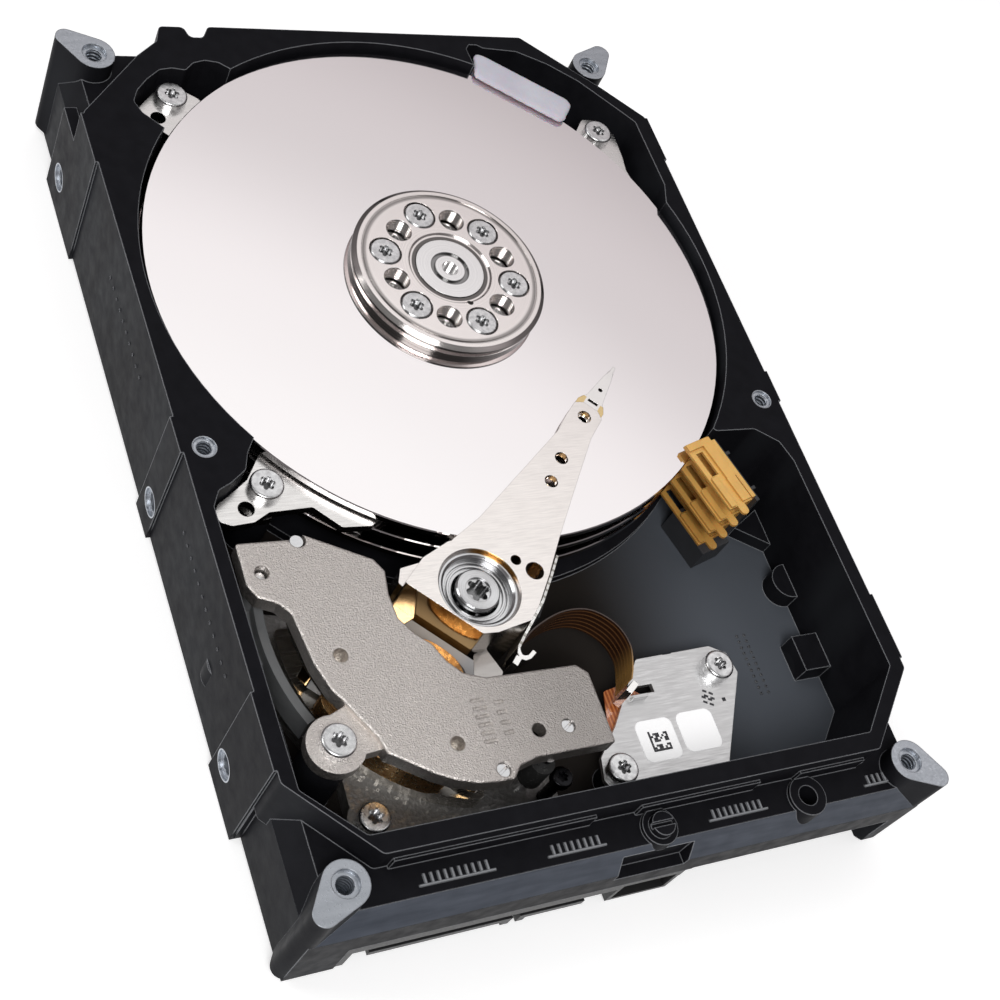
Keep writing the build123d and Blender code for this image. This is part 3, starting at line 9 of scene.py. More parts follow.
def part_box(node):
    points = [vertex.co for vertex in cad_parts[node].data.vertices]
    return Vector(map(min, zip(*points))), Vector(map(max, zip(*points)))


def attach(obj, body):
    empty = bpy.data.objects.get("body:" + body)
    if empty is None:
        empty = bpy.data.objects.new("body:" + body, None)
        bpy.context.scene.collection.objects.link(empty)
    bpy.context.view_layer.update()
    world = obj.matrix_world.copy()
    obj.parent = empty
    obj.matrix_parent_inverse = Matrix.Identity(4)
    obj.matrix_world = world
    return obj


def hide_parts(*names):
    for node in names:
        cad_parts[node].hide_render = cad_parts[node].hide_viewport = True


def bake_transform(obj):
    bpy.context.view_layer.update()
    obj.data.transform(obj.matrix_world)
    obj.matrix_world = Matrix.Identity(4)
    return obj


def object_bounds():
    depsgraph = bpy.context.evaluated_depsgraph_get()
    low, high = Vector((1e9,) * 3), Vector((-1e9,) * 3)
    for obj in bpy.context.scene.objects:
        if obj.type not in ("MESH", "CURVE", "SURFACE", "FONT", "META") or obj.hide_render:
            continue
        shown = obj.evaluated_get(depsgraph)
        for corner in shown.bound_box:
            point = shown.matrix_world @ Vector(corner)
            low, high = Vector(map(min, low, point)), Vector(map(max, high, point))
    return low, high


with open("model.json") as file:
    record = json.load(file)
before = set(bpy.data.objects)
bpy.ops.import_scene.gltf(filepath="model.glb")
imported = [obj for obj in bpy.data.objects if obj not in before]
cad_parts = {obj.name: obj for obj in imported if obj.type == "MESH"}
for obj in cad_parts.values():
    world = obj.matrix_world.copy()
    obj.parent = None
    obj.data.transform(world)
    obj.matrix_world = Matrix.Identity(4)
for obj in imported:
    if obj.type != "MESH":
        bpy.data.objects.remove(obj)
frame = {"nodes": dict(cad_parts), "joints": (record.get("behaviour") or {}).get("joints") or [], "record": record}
cad_low, cad_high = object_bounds()
nodes = frame["nodes"]
MM = 0.001


def joint_point(name):
    """Axis of a named joint seen from above, in metres."""
    joint = next(item for item in frame["joints"] if item["name"] == name)
    return joint["pos_m"][0], joint["pos_m"][1]


SPINDLE = joint_point("spindle_spin")
PIVOT = joint_point("arm_swing")
ARM_ANGLE = math.radians(43.5)

# tones that several materials share
ARM_TONE = (0.95, 0.90, 0.865)
SHADOW = (0.02, 0.02, 0.02)
# light grey for the casting's ticks and sharp edges: partly worn coat, partly painted highlight
WEAR_AND_HIGHLIGHT = (0.34, 0.35, 0.37)

# places on the casting
BAY_FLOOR = 7.0 * MM
CORNER_HOLE = (45.2 * MM, 68.6 * MM)
RIM_HOLE = (47.2 * MM, 5.6 * MM)
SIDE_HOLES_Y = (-45.0 * MM, -3.7 * MM, 56.6 * MM)
SIDE_HOLES_Z = 6.35 * MM
TOWER_TOPS = (21.3 * MM, 21.75 * MM)
FRONT_STRIP_Y = (-73.6 * MM, -71.2 * MM)
FRONT_STRIP_Z = (13.95 * MM, 18.28 * MM)
FRONT_TICKS_Y = (-70.3 * MM, -68.4 * MM)
FRONT_TICKS_Z = (18.38 * MM, 18.56 * MM)

RANGE_SOCKETS = ("From Min", "From Max", "To Min", "To Max")


# ---------------------------------------------------------------- node material helper
class Look:
    """A material with a principled shader, and short calls for the nodes that feed it."""

    def __init__(self, name, color, metallic=0.0, roughness=0.5, **sockets):
        self.material = bpy.data.materials.new(name)
        self.material.use_nodes = True
        self.tree = self.material.node_tree
        self.shader = self.tree.nodes["Principled BSDF"]
        self.shader.inputs["Base Color"].default_value = (*color, 1.0)
        self.shader.inputs["Metallic"].default_value = metallic
        self.shader.inputs["Roughness"].default_value = roughness
        for socket, value in sockets.items():
            self.shader.inputs[socket.replace("_", " ")].default_value = value
        self.texcoord = self.tree.nodes.new("ShaderNodeTexCoord")
        self.place = self.texcoord.outputs["Object"]
        self.facing = self.texcoord.outputs["Normal"]
        self.bump_chain = None

    def feed(self, socket, value):
        """Links a socket, or sets it if value is a plain number or colour."""
        if isinstance(value, bpy.types.NodeSocket):
            self.tree.links.new(value, socket)
        elif value is not None:
            socket.default_value = value

    def math(self, operation, first, second=None, third=None):
        node = self.tree.nodes.new("ShaderNodeMath")
        node.operation = operation
        for socket, value in zip(node.inputs, (first, second, third)):
            self.feed(socket, value)
        return node.outputs[0]

    def times(self, *values):
        result = values[0]
        for value in values[1:]:
            result = self.math("MULTIPLY", result, value)
        return result

    def either(self, *values):
        result = values[0]
        for value in values[1:]:
            result = self.math("MAXIMUM", result, value)
        return result

    def outside(self, mask):
        return self.math("SUBTRACT", 1.0, mask)

    def between(self, share, first, second):
        """Number that goes from the first to the second as the share goes from 0 to 1."""
        gap = self.math("SUBTRACT", second, first)
        return self.math("MULTIPLY_ADD", gap, share, first)

    def wave(self, value, pitch):
        """Sine of a coordinate, with the pitch as the distance from crest to crest."""
        return self.math("SINE", self.math("MULTIPLY", value, 2 * math.pi / pitch))

    def axis(self, vector, name):
        node = self.tree.nodes.new("ShaderNodeSeparateXYZ")
        self.feed(node.inputs[0], vector)
        return node.outputs[name]

    def step(self, value, edge, soft):
        """0 below the edge and 1 above it, with a soft change between."""
        node = self.tree.nodes.new("ShaderNodeMapRange")
        node.interpolation_type = "SMOOTHSTEP"
        self.feed(node.inputs["Value"], value)
        node.inputs["From Min"].default_value = edge - soft
        node.inputs["From Max"].default_value = edge + soft
        return node.outputs["Result"]

    def band(self, value, low, high, soft):
        """1 between low and high, 0 outside."""
        above = self.step(value, low, soft)
        below = self.outside(self.step(value, high, soft))
        return self.times(above, below)

    def remap(self, value, low, high, new_low, new_high):
        node = self.tree.nodes.new("ShaderNodeMapRange")
        self.feed(node.inputs["Value"], value)
        for name, number in zip(RANGE_SOCKETS, (low, high, new_low, new_high)):
            node.inputs[name].default_value = number
        return node.outputs["Result"]

    def distance_to(self, point, axes="XY"):
        """Distance from a line that runs through a point, at right angles to the two axes."""
        offsets = []
        for name, value in zip(axes, point):
            offsets.append(self.math("SUBTRACT", self.axis(self.place, name), value))
        squares = self.math("ADD", self.times(offsets[0], offsets[0]), self.times(offsets[1], offsets[1]))
        return self.math("SQRT", squares)

    def near(self, point, radius, soft, axes="XY"):
        """1 within a radius of that line and 0 further out."""
        return self.outside(self.step(self.distance_to(point, axes), radius, soft))

    def upright(self, limit, soft):
        """1 on upright faces and 0 on level ones; the limit is how level a face may be."""
        return self.outside(self.step(self.math("ABSOLUTE", self.axis(self.facing, "Z")), limit, soft))

    def noise(self, scale, detail=3.0, vector=None, distortion=0.0):
        """Cloudy pattern. The scale is in repeats for each metre."""
        node = self.tree.nodes.new("ShaderNodeTexNoise")
        self.feed(node.inputs["Vector"], vector or self.place)
        node.inputs["Scale"].default_value = scale
        node.inputs["Detail"].default_value = detail
        node.inputs["Roughness"].default_value = 0.55
        node.inputs["Distortion"].default_value = distortion
        return node.outputs[0]

    def cells(self, scale):
        """Distance from the middle of each cell of a random mosaic, and each cell's own colour."""
        node = self.tree.nodes.new("ShaderNodeTexVoronoi")
        self.feed(node.inputs["Vector"], self.place)
        node.inputs["Scale"].default_value = scale
        return node.outputs["Distance"], node.outputs["Color"]

    def stretched(self, factors, turn=0.0):
        """The object's coordinates, turned about Z and stretched, for grain that runs one way."""
        node = self.tree.nodes.new("ShaderNodeMapping")
        self.feed(node.inputs["Vector"], self.place)
        node.inputs["Rotation"].default_value = (0.0, 0.0, turn)
        node.inputs["Scale"].default_value = factors
        return node.outputs[0]

    def rings(self, centre, scale):
        """Fine circles round an axis, as a lathe leaves them."""
        node = self.tree.nodes.new("ShaderNodeTexNoise")
        node.noise_dimensions = "1D"
        self.feed(node.inputs["W"], self.distance_to(centre))
        node.inputs["Scale"].default_value = scale
        node.inputs["Detail"].default_value = 4.0
        return node.outputs[0]

    def mix(self, share, first, second):
        """Blend of two colours."""
        node = self.tree.nodes.new("ShaderNodeMix")
        node.data_type = "RGBA"
        self.feed(node.inputs["Factor"], share)
        for socket, value in ((node.inputs[6], first), (node.inputs[7], second)):
            self.feed(socket, (*value, 1.0) if isinstance(value, tuple) else value)
        return node.outputs[2]

    def color(self, value):
        self.feed(self.shader.inputs["Base Color"], value)

    def rough(self, value):
        self.feed(self.shader.inputs["Roughness"], value)

    def metal(self, value):
        self.feed(self.shader.inputs["Metallic"], value)

    def fed(self, socket):
        """What feeds one of the shader's sockets so far."""
        return self.shader.inputs[socket].links[0].from_socket

    def bump(self, height, strength, distance):
        """Adds a bump on top of those already there."""
        node = self.tree.nodes.new("ShaderNodeBump")
        self.feed(node.inputs["Strength"], strength)
        node.inputs["Distance"].default_value = distance
        self.feed(node.inputs["Height"], height)
        if self.bump_chain is not None:
            self.feed(node.inputs["Normal"], self.bump_chain)
        self.bump_chain = node.outputs[0]
        self.feed(self.shader.inputs["Normal"], self.bump_chain)

    def turned_about(self, centre, turn):
        """Coordinates measured from an upright axis and turned with it, such as the arm's own axes."""
        node = self.tree.nodes.new("ShaderNodeMapping")
        node.vector_type = "TEXTURE"
        self.feed(node.inputs["Vector"], self.place)
        node.inputs["Location"].default_value = (*centre, 0.0)
        node.inputs["Rotation"].default_value = (0.0, 0.0, turn)
        return node.outputs[0]

    def sharp_edges(self, radius, start=0.985, full=0.85):
        """1 along sharp edges and 0 on open faces."""
        node = self.tree.nodes.new("ShaderNodeBevel")
        node.samples = 6
        node.inputs["Radius"].default_value = radius
        flat = self.tree.nodes.new("ShaderNodeNewGeometry")
        agree = self.tree.nodes.new("ShaderNodeVectorMath")
        agree.operation = "DOT_PRODUCT"
        self.feed(agree.inputs[0], node.outputs[0])
        self.feed(agree.inputs[1], flat.outputs["Normal"])
        return self.remap(agree.outputs["Value"], start, full, 0.0, 1.0)

    def soft_edges(self, radius):
        """Edges that catch the light as if slightly rounded. Comes before any bump."""
        node = self.tree.nodes.new("ShaderNodeBevel")
        node.samples = 4
        node.inputs["Radius"].default_value = radius
        self.bump_chain = node.outputs[0]
        self.feed(self.shader.inputs["Normal"], self.bump_chain)


# ---------------------------------------------------------------- materials
def around(centre, radius, angle):
    """Point at a radius in metres and an angle in degrees from a centre."""
    turn = math.radians(angle)
    return centre[0] + radius * math.cos(turn), centre[1] + radius * math.sin(turn)


def scaled(tone, share):
    """The same tone, darker or lighter."""
    return tuple(min(1.0, share * part) for part in tone)


def folded_place(look, side, along, up):
    """The object's coordinates, folded so that its four corners lie over each other."""
    node = look.tree.nodes.new("ShaderNodeCombineXYZ")
    for socket, value in zip(node.inputs, (side, look.math("ABSOLUTE", along), up)):
        look.feed(socket, value)
    return node.outputs[0]


def casting_look():
    """Black electro-coat over cast aluminium, cut back to bright metal at pads and screw holes; its edges and
    ticks are lighter, partly worn and partly painted highlight, and painted light lies on the side walls and the
    bay floor.
    """
    look = Look("casting_black", (0.02, 0.02, 0.022), roughness=0.35, Specular_IOR_Level=0.02)
    look.soft_edges(0.25 * MM)
    across, along, up = (look.axis(look.place, name) for name in "XYZ")
    side = look.math("ABSOLUTE", across)
    face_y = look.axis(look.facing, "Y")
    face_z = look.axis(look.facing, "Z")
    level = look.step(face_z, 0.9, 0.03)
    strip = look.times(
        look.band(along, *FRONT_STRIP_Y, 0.04 * MM),
        look.band(up, *FRONT_STRIP_Z, 0.05 * MM),
        look.band(face_z, 0.25, 0.75, 0.03),
        look.outside(look.step(face_y, -0.5, 0.05)),
        look.outside(look.step(side, 49.0 * MM, 0.05 * MM)),
    )
    tower_top = look.times(look.band(up, *TOWER_TOPS, 0.02 * MM), level)
    plain_place = look.place
    look.place = folded_place(look, side, along, up)
    corner_hole = look.times(look.near(CORNER_HOLE, 1.95 * MM, 0.04 * MM), look.step(up, 12 * MM, MM))
    rim_hole = look.times(
        look.near(RIM_HOLE, 1.75 * MM, 0.04 * MM),
        look.step(up, 15 * MM, MM),
        look.outside(look.step(along, 0.0, MM)),
    )
    look.place = plain_place
    bright = [tower_top, corner_hole, rim_hole]
    for hole_y in SIDE_HOLES_Y:
        ring = look.near((hole_y, SIDE_HOLES_Z), 2.3 * MM, 0.05 * MM, "YZ")
        bright.append(look.times(ring, look.step(side, 44 * MM, MM)))
    bare = look.either(*bright)
    ticks = look.times(
        look.band(up, *FRONT_TICKS_Z, 0.02 * MM),
        look.band(along, *FRONT_TICKS_Y, 0.05 * MM),
        level,
    )
    bay_floor = look.times(look.band(up, BAY_FLOOR - 0.1 * MM, BAY_FLOOR + 0.1 * MM, 0.02 * MM), level)
    edge = look.times(look.sharp_edges(0.28 * MM), look.step(up, 3.0 * MM, MM))
    wall = look.times(look.step(side, 43.0 * MM, MM), look.outside(look.step(face_z, 0.5, 0.2)))
    grain = look.noise(2600.0, 2.0)
    cast = look.noise(420.0, 4.0)
    streak = look.noise(900.0, 3.0, vector=look.stretched((0.12, 1.0, 1.0)))
    coat = look.mix(cast, (0.007, 0.007, 0.0085), (0.015, 0.015, 0.018))
    # painted sheen: mottled lighter patches on the side walls, standing in for light falling on them
    wall_sheen = look.remap(look.noise(75.0, 2.0, vector=look.stretched((1.0, 1.0, 0.4))), 0.45, 0.62, 0.0, 1.0)
    coat = look.mix(look.times(wall, wall_sheen), coat, (0.018, 0.019, 0.022))
    # painted shade and light on the bay floor: dark towards the discs, lighter and bluish towards the open end at
    # +X
    open_end = look.step(across, 22.0 * MM, 12.0 * MM)
    lit_floor = look.mix(open_end, (0.020, 0.017, 0.015), (0.095, 0.105, 0.122))
    coat = look.mix(bay_floor, coat, lit_floor)
    # painted highlight: the cast ticks lightened as if lit
    coat = look.mix(ticks, coat, WEAR_AND_HIGHLIGHT)
    coat = look.mix(strip, coat, look.mix(streak, (0.030, 0.036, 0.048), (0.085, 0.095, 0.118)))
    # sharp edges lightened: partly worn coat, partly painted highlight
    coat = look.mix(look.times(edge, 0.85), coat, WEAR_AND_HIGHLIGHT)
    steel_tone = look.mix(streak, (0.42, 0.45, 0.49), (0.62, 0.65, 0.70))
    look.color(look.mix(bare, coat, steel_tone))
    look.metal(look.times(look.either(bare, look.times(strip, 0.9)), 0.95))
    coat_rough = look.remap(cast, 0.3, 0.7, 0.30, 0.46)
    bare_rough = look.remap(grain, 0.3, 0.7, 0.24, 0.50)
    look.rough(look.between(bare, coat_rough, bare_rough))
    look.bump(cast, 0.10, 0.25 * MM)
    look.bump(grain, look.remap(bare, 0.0, 1.0, 0.08, 0.30), 0.06 * MM)
    thread = look.wave(up, 0.7 * MM)
    inside = look.times(look.either(corner_hole, rim_hole), look.outside(look.step(face_z, 0.5, 0.1)))
    look.bump(look.times(thread, inside), 0.7, 0.12 * MM)
    return look


def shade_walls(look, colour, share):
    """The colour, with only this share of it left on upright faces and shadow for the rest."""
    return look.mix(look.times(look.upright(0.45, 0.25), 1.0 - share), colour, SHADOW)


def turned_look(name, tone, roughness, centre, groove=0.25, walls=0.6):
    """Metal that was turned on a lathe."""
    look = Look(name, tone, metallic=1.0, roughness=roughness)
    look.soft_edges(0.12 * MM)
    grooves = look.rings(centre, 9000.0)
    cloud = look.noise(260.0, 3.0)
    faces = look.mix(look.remap(grooves, 0.35, 0.65, 0.0, 1.0), scaled(tone, 0.86), tone)
    look.color(shade_walls(look, faces, walls))
    look.rough(look.remap(cloud, 0.3, 0.7, roughness * 0.8, roughness * 1.3))
    look.bump(grooves, groove, 0.05 * MM)
    return look


def satin_metal_look(name, tone, roughness, grain_turn=0.0, grain=0.15, walls=1.0):
    """Metal with a fine drawn or ground grain that runs one way."""
    look = Look(name, tone, metallic=1.0, roughness=roughness)
    look.soft_edges(0.1 * MM)
    lines = look.noise(5200.0, 3.0, vector=look.stretched((0.06, 1.0, 1.0), grain_turn))
    cloud = look.noise(300.0, 3.0)
    look.color(shade_walls(look, look.mix(cloud, scaled(tone, 0.90), tone), walls))
    look.rough(look.remap(lines, 0.3, 0.7, roughness * 0.75, roughness * 1.35))
    look.bump(lines, grain, 0.03 * MM)
    return look


def ring_zone(look, inner, outer, soft=0.08):
    """1 between two radii about the spindle, given in millimetres."""
    return look.band(look.distance_to(SPINDLE), inner * MM, outer * MM, soft * MM)


def clamp_look():
    """Bright turned disc clamp with painted shade in the groove inside its rim, in the bore and on its skirt, a
    small dark mark, and threaded holes.
    """
    look = turned_look("clamp_nickel", (0.96, 0.905, 0.88), 0.14, SPINDLE, 0.05, 1.0)
    metal = look.fed("Base Color")
    upright = look.upright(0.8, 0.1)
    skirt = look.times(upright, ring_zone(look, 15.0, 18.0))
    groove = ring_zone(look, 13.75, 14.45, 0.25)
    bore = ring_zone(look, 5.0, 6.3, 0.1)
    mark = look.near(around(SPINDLE, 6.9 * MM, 279.0), 0.5 * MM, 0.06 * MM)
    # painted shade in the groove, the bore and on the upright skirt; the mark is a real dark mark
    shade = look.either(look.times(skirt, 0.93), look.times(groove, 0.6), look.times(bore, 0.85), mark)
    look.color(look.mix(shade, metal, (0.03, 0.027, 0.025)))
    thread = look.wave(look.axis(look.place, "Z"), 0.5 * MM)
    look.bump(look.times(thread, upright, ring_zone(look, 7.0, 13.0)), 0.8, 0.15 * MM)
    return look


def hub_look():
    """Turned aluminium hub: white in the middle, with painted shade on the outside under the clamp and in a groove
    round the middle.
    """
    look = turned_look("hub_alloy", (0.96, 0.95, 0.945), 0.14, SPINDLE, 0.06, 1.0)
    metal = look.fed("Base Color")
    skirt = ring_zone(look, 11.8, 18.0)
    groove = look.times(ring_zone(look, 2.4, 3.2, 0.1), 0.7)
    # painted shade on the skirt under the clamp and in the groove
    look.color(look.mix(look.either(look.times(skirt, 0.94), groove), metal, (0.03, 0.03, 0.03)))
    return look


def post_look():
    """Turned steel round the arm's pivot, with a dark star recess in the middle of the post."""
    look = turned_look("shaft_steel", (0.74, 0.74, 0.75), 0.20, PIVOT, 0.35, 0.40)
    steel = look.fed("Base Color")
    below = look.outside(look.step(look.axis(look.place, "Z"), 22.15 * MM, 0.05 * MM))
    recess = look.times(look.near(PIVOT, 1.7 * MM, 0.15 * MM), below)
    look.color(look.mix(look.times(recess, 0.70), steel, SHADOW))
    return look


def arm_look():
    """Machined aluminium arm; the block's rear wall is polished, with the coil's copper reflection painted on it,
    and the lower parts carry painted shade.
    """
    look = satin_metal_look("arm_alloy", ARM_TONE, 0.20, -ARM_ANGLE, 0.07, 0.8)
    backward = look.tree.nodes.new("ShaderNodeVectorMath")
    backward.operation = "DOT_PRODUCT"
    look.feed(backward.inputs[0], look.facing)
    backward.inputs[1].default_value = (-math.cos(ARM_ANGLE), -math.sin(ARM_ANGLE), 0.0)
    rear = look.step(backward.outputs["Value"], 0.8, 0.1)
    alloy = look.fed("Base Color")
    low = look.outside(look.step(look.axis(look.place, "Z"), 18.2 * MM, 0.2 * MM))
    # painted shade: the arm darker below 18 mm
    alloy = look.mix(look.times(low, 0.6), alloy, (0.20, 0.19, 0.18))
    # painted reflection: faces that look back towards the coil take its copper tone
    look.color(look.mix(rear, alloy, (0.66, 0.44, 0.21)))
    look.rough(look.between(rear, look.fed("Roughness"), 0.10))
    return look


def suspension_look():
    """Stamped stainless spring steel, with two amber insulation patches beside the beam's root."""
    look = satin_metal_look("suspension_steel", (0.93, 0.91, 0.89), 0.12, -ARM_ANGLE, 0.05)
    local = look.turned_about(PIVOT, ARM_ANGLE)
    reach = look.band(look.axis(local, "X"), 39.9 * MM, 42.8 * MM, 0.08 * MM)
    side = look.band(look.math("ABSOLUTE", look.axis(local, "Y")), 1.25 * MM, 2.4 * MM, 0.08 * MM)
    steel = look.fed("Base Color")
    look.color(look.mix(look.times(reach, side, 0.8), steel, (0.72, 0.50, 0.16)))
    return look


def blasted_look(name, tone, grain_scale, strength, roughness=0.42):
    """Nickel-plated steel with a bead-blasted face, with painted glints on random grains and painted shade towards
    +X.
    """
    look = Look(name, tone, metallic=1.0, roughness=roughness)
    look.soft_edges(0.3 * MM)
    distance, colours = look.cells(grain_scale)
    glint = look.axis(colours, "X")
    fine = look.noise(grain_scale * 0.9, 2.0)
    body = look.mix(look.remap(fine, 0.35, 0.65, 0.0, 1.0), scaled(tone, 0.90), tone)
    # painted glints: some grains lightened
    body = look.mix(look.step(glint, 0.80, 0.16), body, scaled(tone, 1.08))
    # painted shade: darker towards +X
    shaded_end = look.step(look.axis(look.place, "X"), -17.0 * MM, 12.0 * MM)
    look.color(look.mix(look.times(shaded_end, 0.72), body, scaled(tone, 0.58)))
    look.rough(look.remap(glint, 0.0, 1.0, roughness * 1.2, roughness * 0.8))
    look.bump(fine, strength, 0.14 * MM)
    look.bump(distance, strength * 0.6, 0.10 * MM)
    return look


# screws seen from above: centre, and height of the head's top face
CLAMP_SCREWS = [(around(SPINDLE, 10.6 * MM, 40 + 60 * number), 24.25 * MM) for number in range(6)]
DAMPER_SCREWS = [(around(SPINDLE, 51.5 * MM, angle), 21.25 * MM) for angle in (36.9, 132.2, 220.7)]
BRACKET_SCREWS = [((26.7 * MM, -45.2 * MM), 12.8 * MM), ((4.0 * MM, -58.2 * MM), 12.8 * MM)]
YOKE_SCREWS = [((-41.0 * MM, -50.6 * MM), 23.2 * MM), ((-34.3 * MM, -57.7 * MM), 11.5 * MM)]
SMALL_YOKE_SCREW = (-8.6 * MM, -59.2 * MM)


def screw_look():
    """Zinc-plated screws: mottled, with painted shade in the star recess and round the clamp screws' heads; the
    small yoke screw is blackened.
    """
    look = Look("screw_steel", (0.62, 0.62, 0.63), metallic=1.0, roughness=0.32)
    look.soft_edges(0.15 * MM)
    mottle = look.noise(1500.0, 4.0)
    spots = look.cells(1100.0)[0]
    up = look.axis(look.place, "Z")
    recesses = []
    # painted shade in each star recess
    for centre, top in CLAMP_SCREWS + DAMPER_SCREWS + BRACKET_SCREWS + YOKE_SCREWS:
        below = look.outside(look.step(up, top - 0.12 * MM, 0.05 * MM))
        recesses.append(look.times(look.near(centre, 0.85 * MM, 0.2 * MM), below))
    zinc = look.mix(look.remap(mottle, 0.3, 0.7, 0.0, 1.0), (0.60, 0.60, 0.61), (0.86, 0.86, 0.86))
    # painted shade in the ring round each clamp screw's head
    for centre, _ in CLAMP_SCREWS:
        rim = look.band(look.distance_to(centre), 2.32 * MM, 2.7 * MM, 0.05 * MM)
        recesses.append(look.times(rim, 0.75))
    blackened = look.near(SMALL_YOKE_SCREW, 2.5 * MM, 0.1 * MM)
    # the small yoke screw is blackened; the recesses carry painted shade
    black = look.either(blackened, look.times(look.either(*recesses), 0.88))
    look.color(look.mix(black, zinc, (0.02, 0.02, 0.022)))
    look.rough(look.remap(spots, 0.0, 0.6, 0.45, 0.24))
    look.bump(mottle, 0.18, 0.06 * MM)
    return look


def platter_look():
    """Polished disc: a mirror with a faint warm tint and a hardly visible haze."""
    look = Look("platter_mirror", (0.93, 0.885, 0.885), metallic=1.0, roughness=0.06)
    haze = look.noise(22.0, 2.0)
    face = look.mix(haze, (0.905, 0.868, 0.870), (0.925, 0.892, 0.892))
    look.color(shade_walls(look, face, 0.25))
    look.rough(look.remap(haze, 0.3, 0.7, 0.055, 0.075))
    return look


def plastic_look(name, tone, roughness, texture=0.25, glow=0.0):
    """Moulded plastic with a fine eroded texture and slight flow marks."""
    look = Look(name, tone, roughness=roughness, Subsurface_Weight=glow, Subsurface_Scale=1.2 * MM)
    look.soft_edges(0.15 * MM)
    flow = look.noise(160.0, 3.0, distortion=0.6)
    skin = look.noise(3800.0, 2.0)
    look.color(look.mix(look.remap(flow, 0.3, 0.7, 0.0, 1.0), scaled(tone, 0.78), tone))
    look.rough(look.remap(skin, 0.3, 0.7, roughness * 0.85, min(1.0, roughness * 1.2)))
    look.bump(skin, texture, 0.04 * MM)
    return look


def rubber_look():
    """Black rubber with pale dust in its pores."""
    look = Look("stop_rubber", (0.018, 0.018, 0.018), roughness=0.75)
    dust = look.noise(2200.0, 4.0)
    look.color(look.mix(look.step(dust, 0.62, 0.08), (0.014, 0.014, 0.014), (0.05, 0.05, 0.048)))
    look.bump(dust, 0.3, 0.05 * MM)
    return look


def copper_look():
    """Enamelled wire: amber over copper, each turn a little different."""
    look = Look("copper_wire", (0.80, 0.46, 0.20), metallic=1.0, roughness=0.28)
    turns = look.noise(1400.0, 2.0)
    look.color(look.mix(look.remap(turns, 0.3, 0.7, 0.0, 1.0), (0.42, 0.20, 0.07), (0.88, 0.58, 0.28)))
    look.rough(look.remap(turns, 0.3, 0.7, 0.38, 0.22))
    look.bump(look.noise(5000.0, 2.0), 0.15, 0.02 * MM)
    return look


def flex_look(name, film, track, pitch, axis, soft=0.25, edge=0.15):
    """Polyimide film with copper tracks that show through as paler stripes."""
    look = Look(name, film, roughness=0.28, Coat_Weight=0.4, Coat_Roughness=0.12)
    stripes = look.step(look.wave(look.axis(look.place, axis), pitch), edge, soft)
    cloud = look.noise(420.0, 3.0)
    base = look.mix(cloud, scaled(film, 0.6), film)
    look.color(look.mix(look.times(stripes, 0.75), base, track))
    look.rough(look.remap(cloud, 0.3, 0.7, 0.22, 0.40))
    look.bump(stripes, 0.35, 0.03 * MM)
    return look


def loop_film_look():
    """Dark ribbon whose copper shows golden near the clip."""
    look = flex_look("flex_loop_film", (0.045, 0.016, 0.007), (0.24, 0.11, 0.04), 0.98 * MM, "Z", 0.2, 0.72)
    film = look.fed("Base Color")
    golden = look.outside(look.step(look.axis(look.place, "Y"), -43.0 * MM, 2.5 * MM))
    look.color(look.mix(look.times(golden, 0.65), film, (0.62, 0.34, 0.09)))
    return look


def arm_film_look():
    """Board glued to the arm: grey film with a white upper edge broken by a row of solder dots."""
    look = flex_look("arm_film", (0.20, 0.16, 0.12), (0.55, 0.48, 0.38), 1.1 * MM, "Z")
    film = look.fed("Base Color")
    local = look.turned_about(PIVOT, ARM_ANGLE)
    beat = look.wave(look.axis(local, "X"), 1.2 * MM)
    top_edge = look.step(look.axis(look.facing, "Z"), 0.4, 0.1)
    dotted = look.mix(look.step(beat, 0.5, 0.2), (0.90, 0.89, 0.86), (0.40, 0.38, 0.34))
    look.color(look.mix(top_edge, film, dotted))
    return look


def ramp_look():
    """Amber polymer, with painted shade lower down and on upright faces, so that it is paler and yellower on the
    top step and deeper between the steps.
    """
    look = plastic_look("ramp_amber", (0.98, 0.56, 0.15), 0.33, 0.12, 0.15)
    amber = look.fed("Base Color")
    # painted shade: darker lower down between the steps and on upright faces
    depth = look.outside(look.step(look.axis(look.place, "Z"), 17.0 * MM, 4.5 * MM))
    upright = look.outside(look.step(look.axis(look.facing, "Z"), 0.4, 0.3))
    shaded = look.mix(look.times(depth, 0.45), amber, (0.36, 0.15, 0.02))
    look.color(look.mix(look.times(upright, 0.45), shaded, (0.30, 0.12, 0.015)))
    return look


def board_look():
    """Solder-masked board: routed tracks and vias under a green skin."""
    look = Look("board_green", (0.010, 0.075, 0.040), roughness=0.30, Coat_Weight=0.3, Coat_Roughness=0.1)
    routes = look.tree.nodes.new("ShaderNodeTexBrick")
    look.feed(routes.inputs["Vector"], look.stretched((1.0, 1.0, 1.0), math.radians(45)))
    routes.inputs["Scale"].default_value = 170.0
    routes.inputs["Mortar Size"].default_value = 0.09
    routes.inputs["Brick Width"].default_value = 2.6
    tracks = routes.outputs["Fac"]
    holes = look.cells(420.0)[0]
    via = look.outside(look.step(holes, 0.13, 0.02))
    tinted = look.mix(tracks, (0.008, 0.060, 0.032), (0.022, 0.130, 0.066))
    look.color(look.mix(via, tinted, (0.62, 0.60, 0.52)))
    look.metal(look.times(via, 0.9))
    look.bump(tracks, 0.3, 0.04 * MM)
    look.bump(look.noise(1800.0, 2.0), 0.08, 0.03 * MM)
    return look


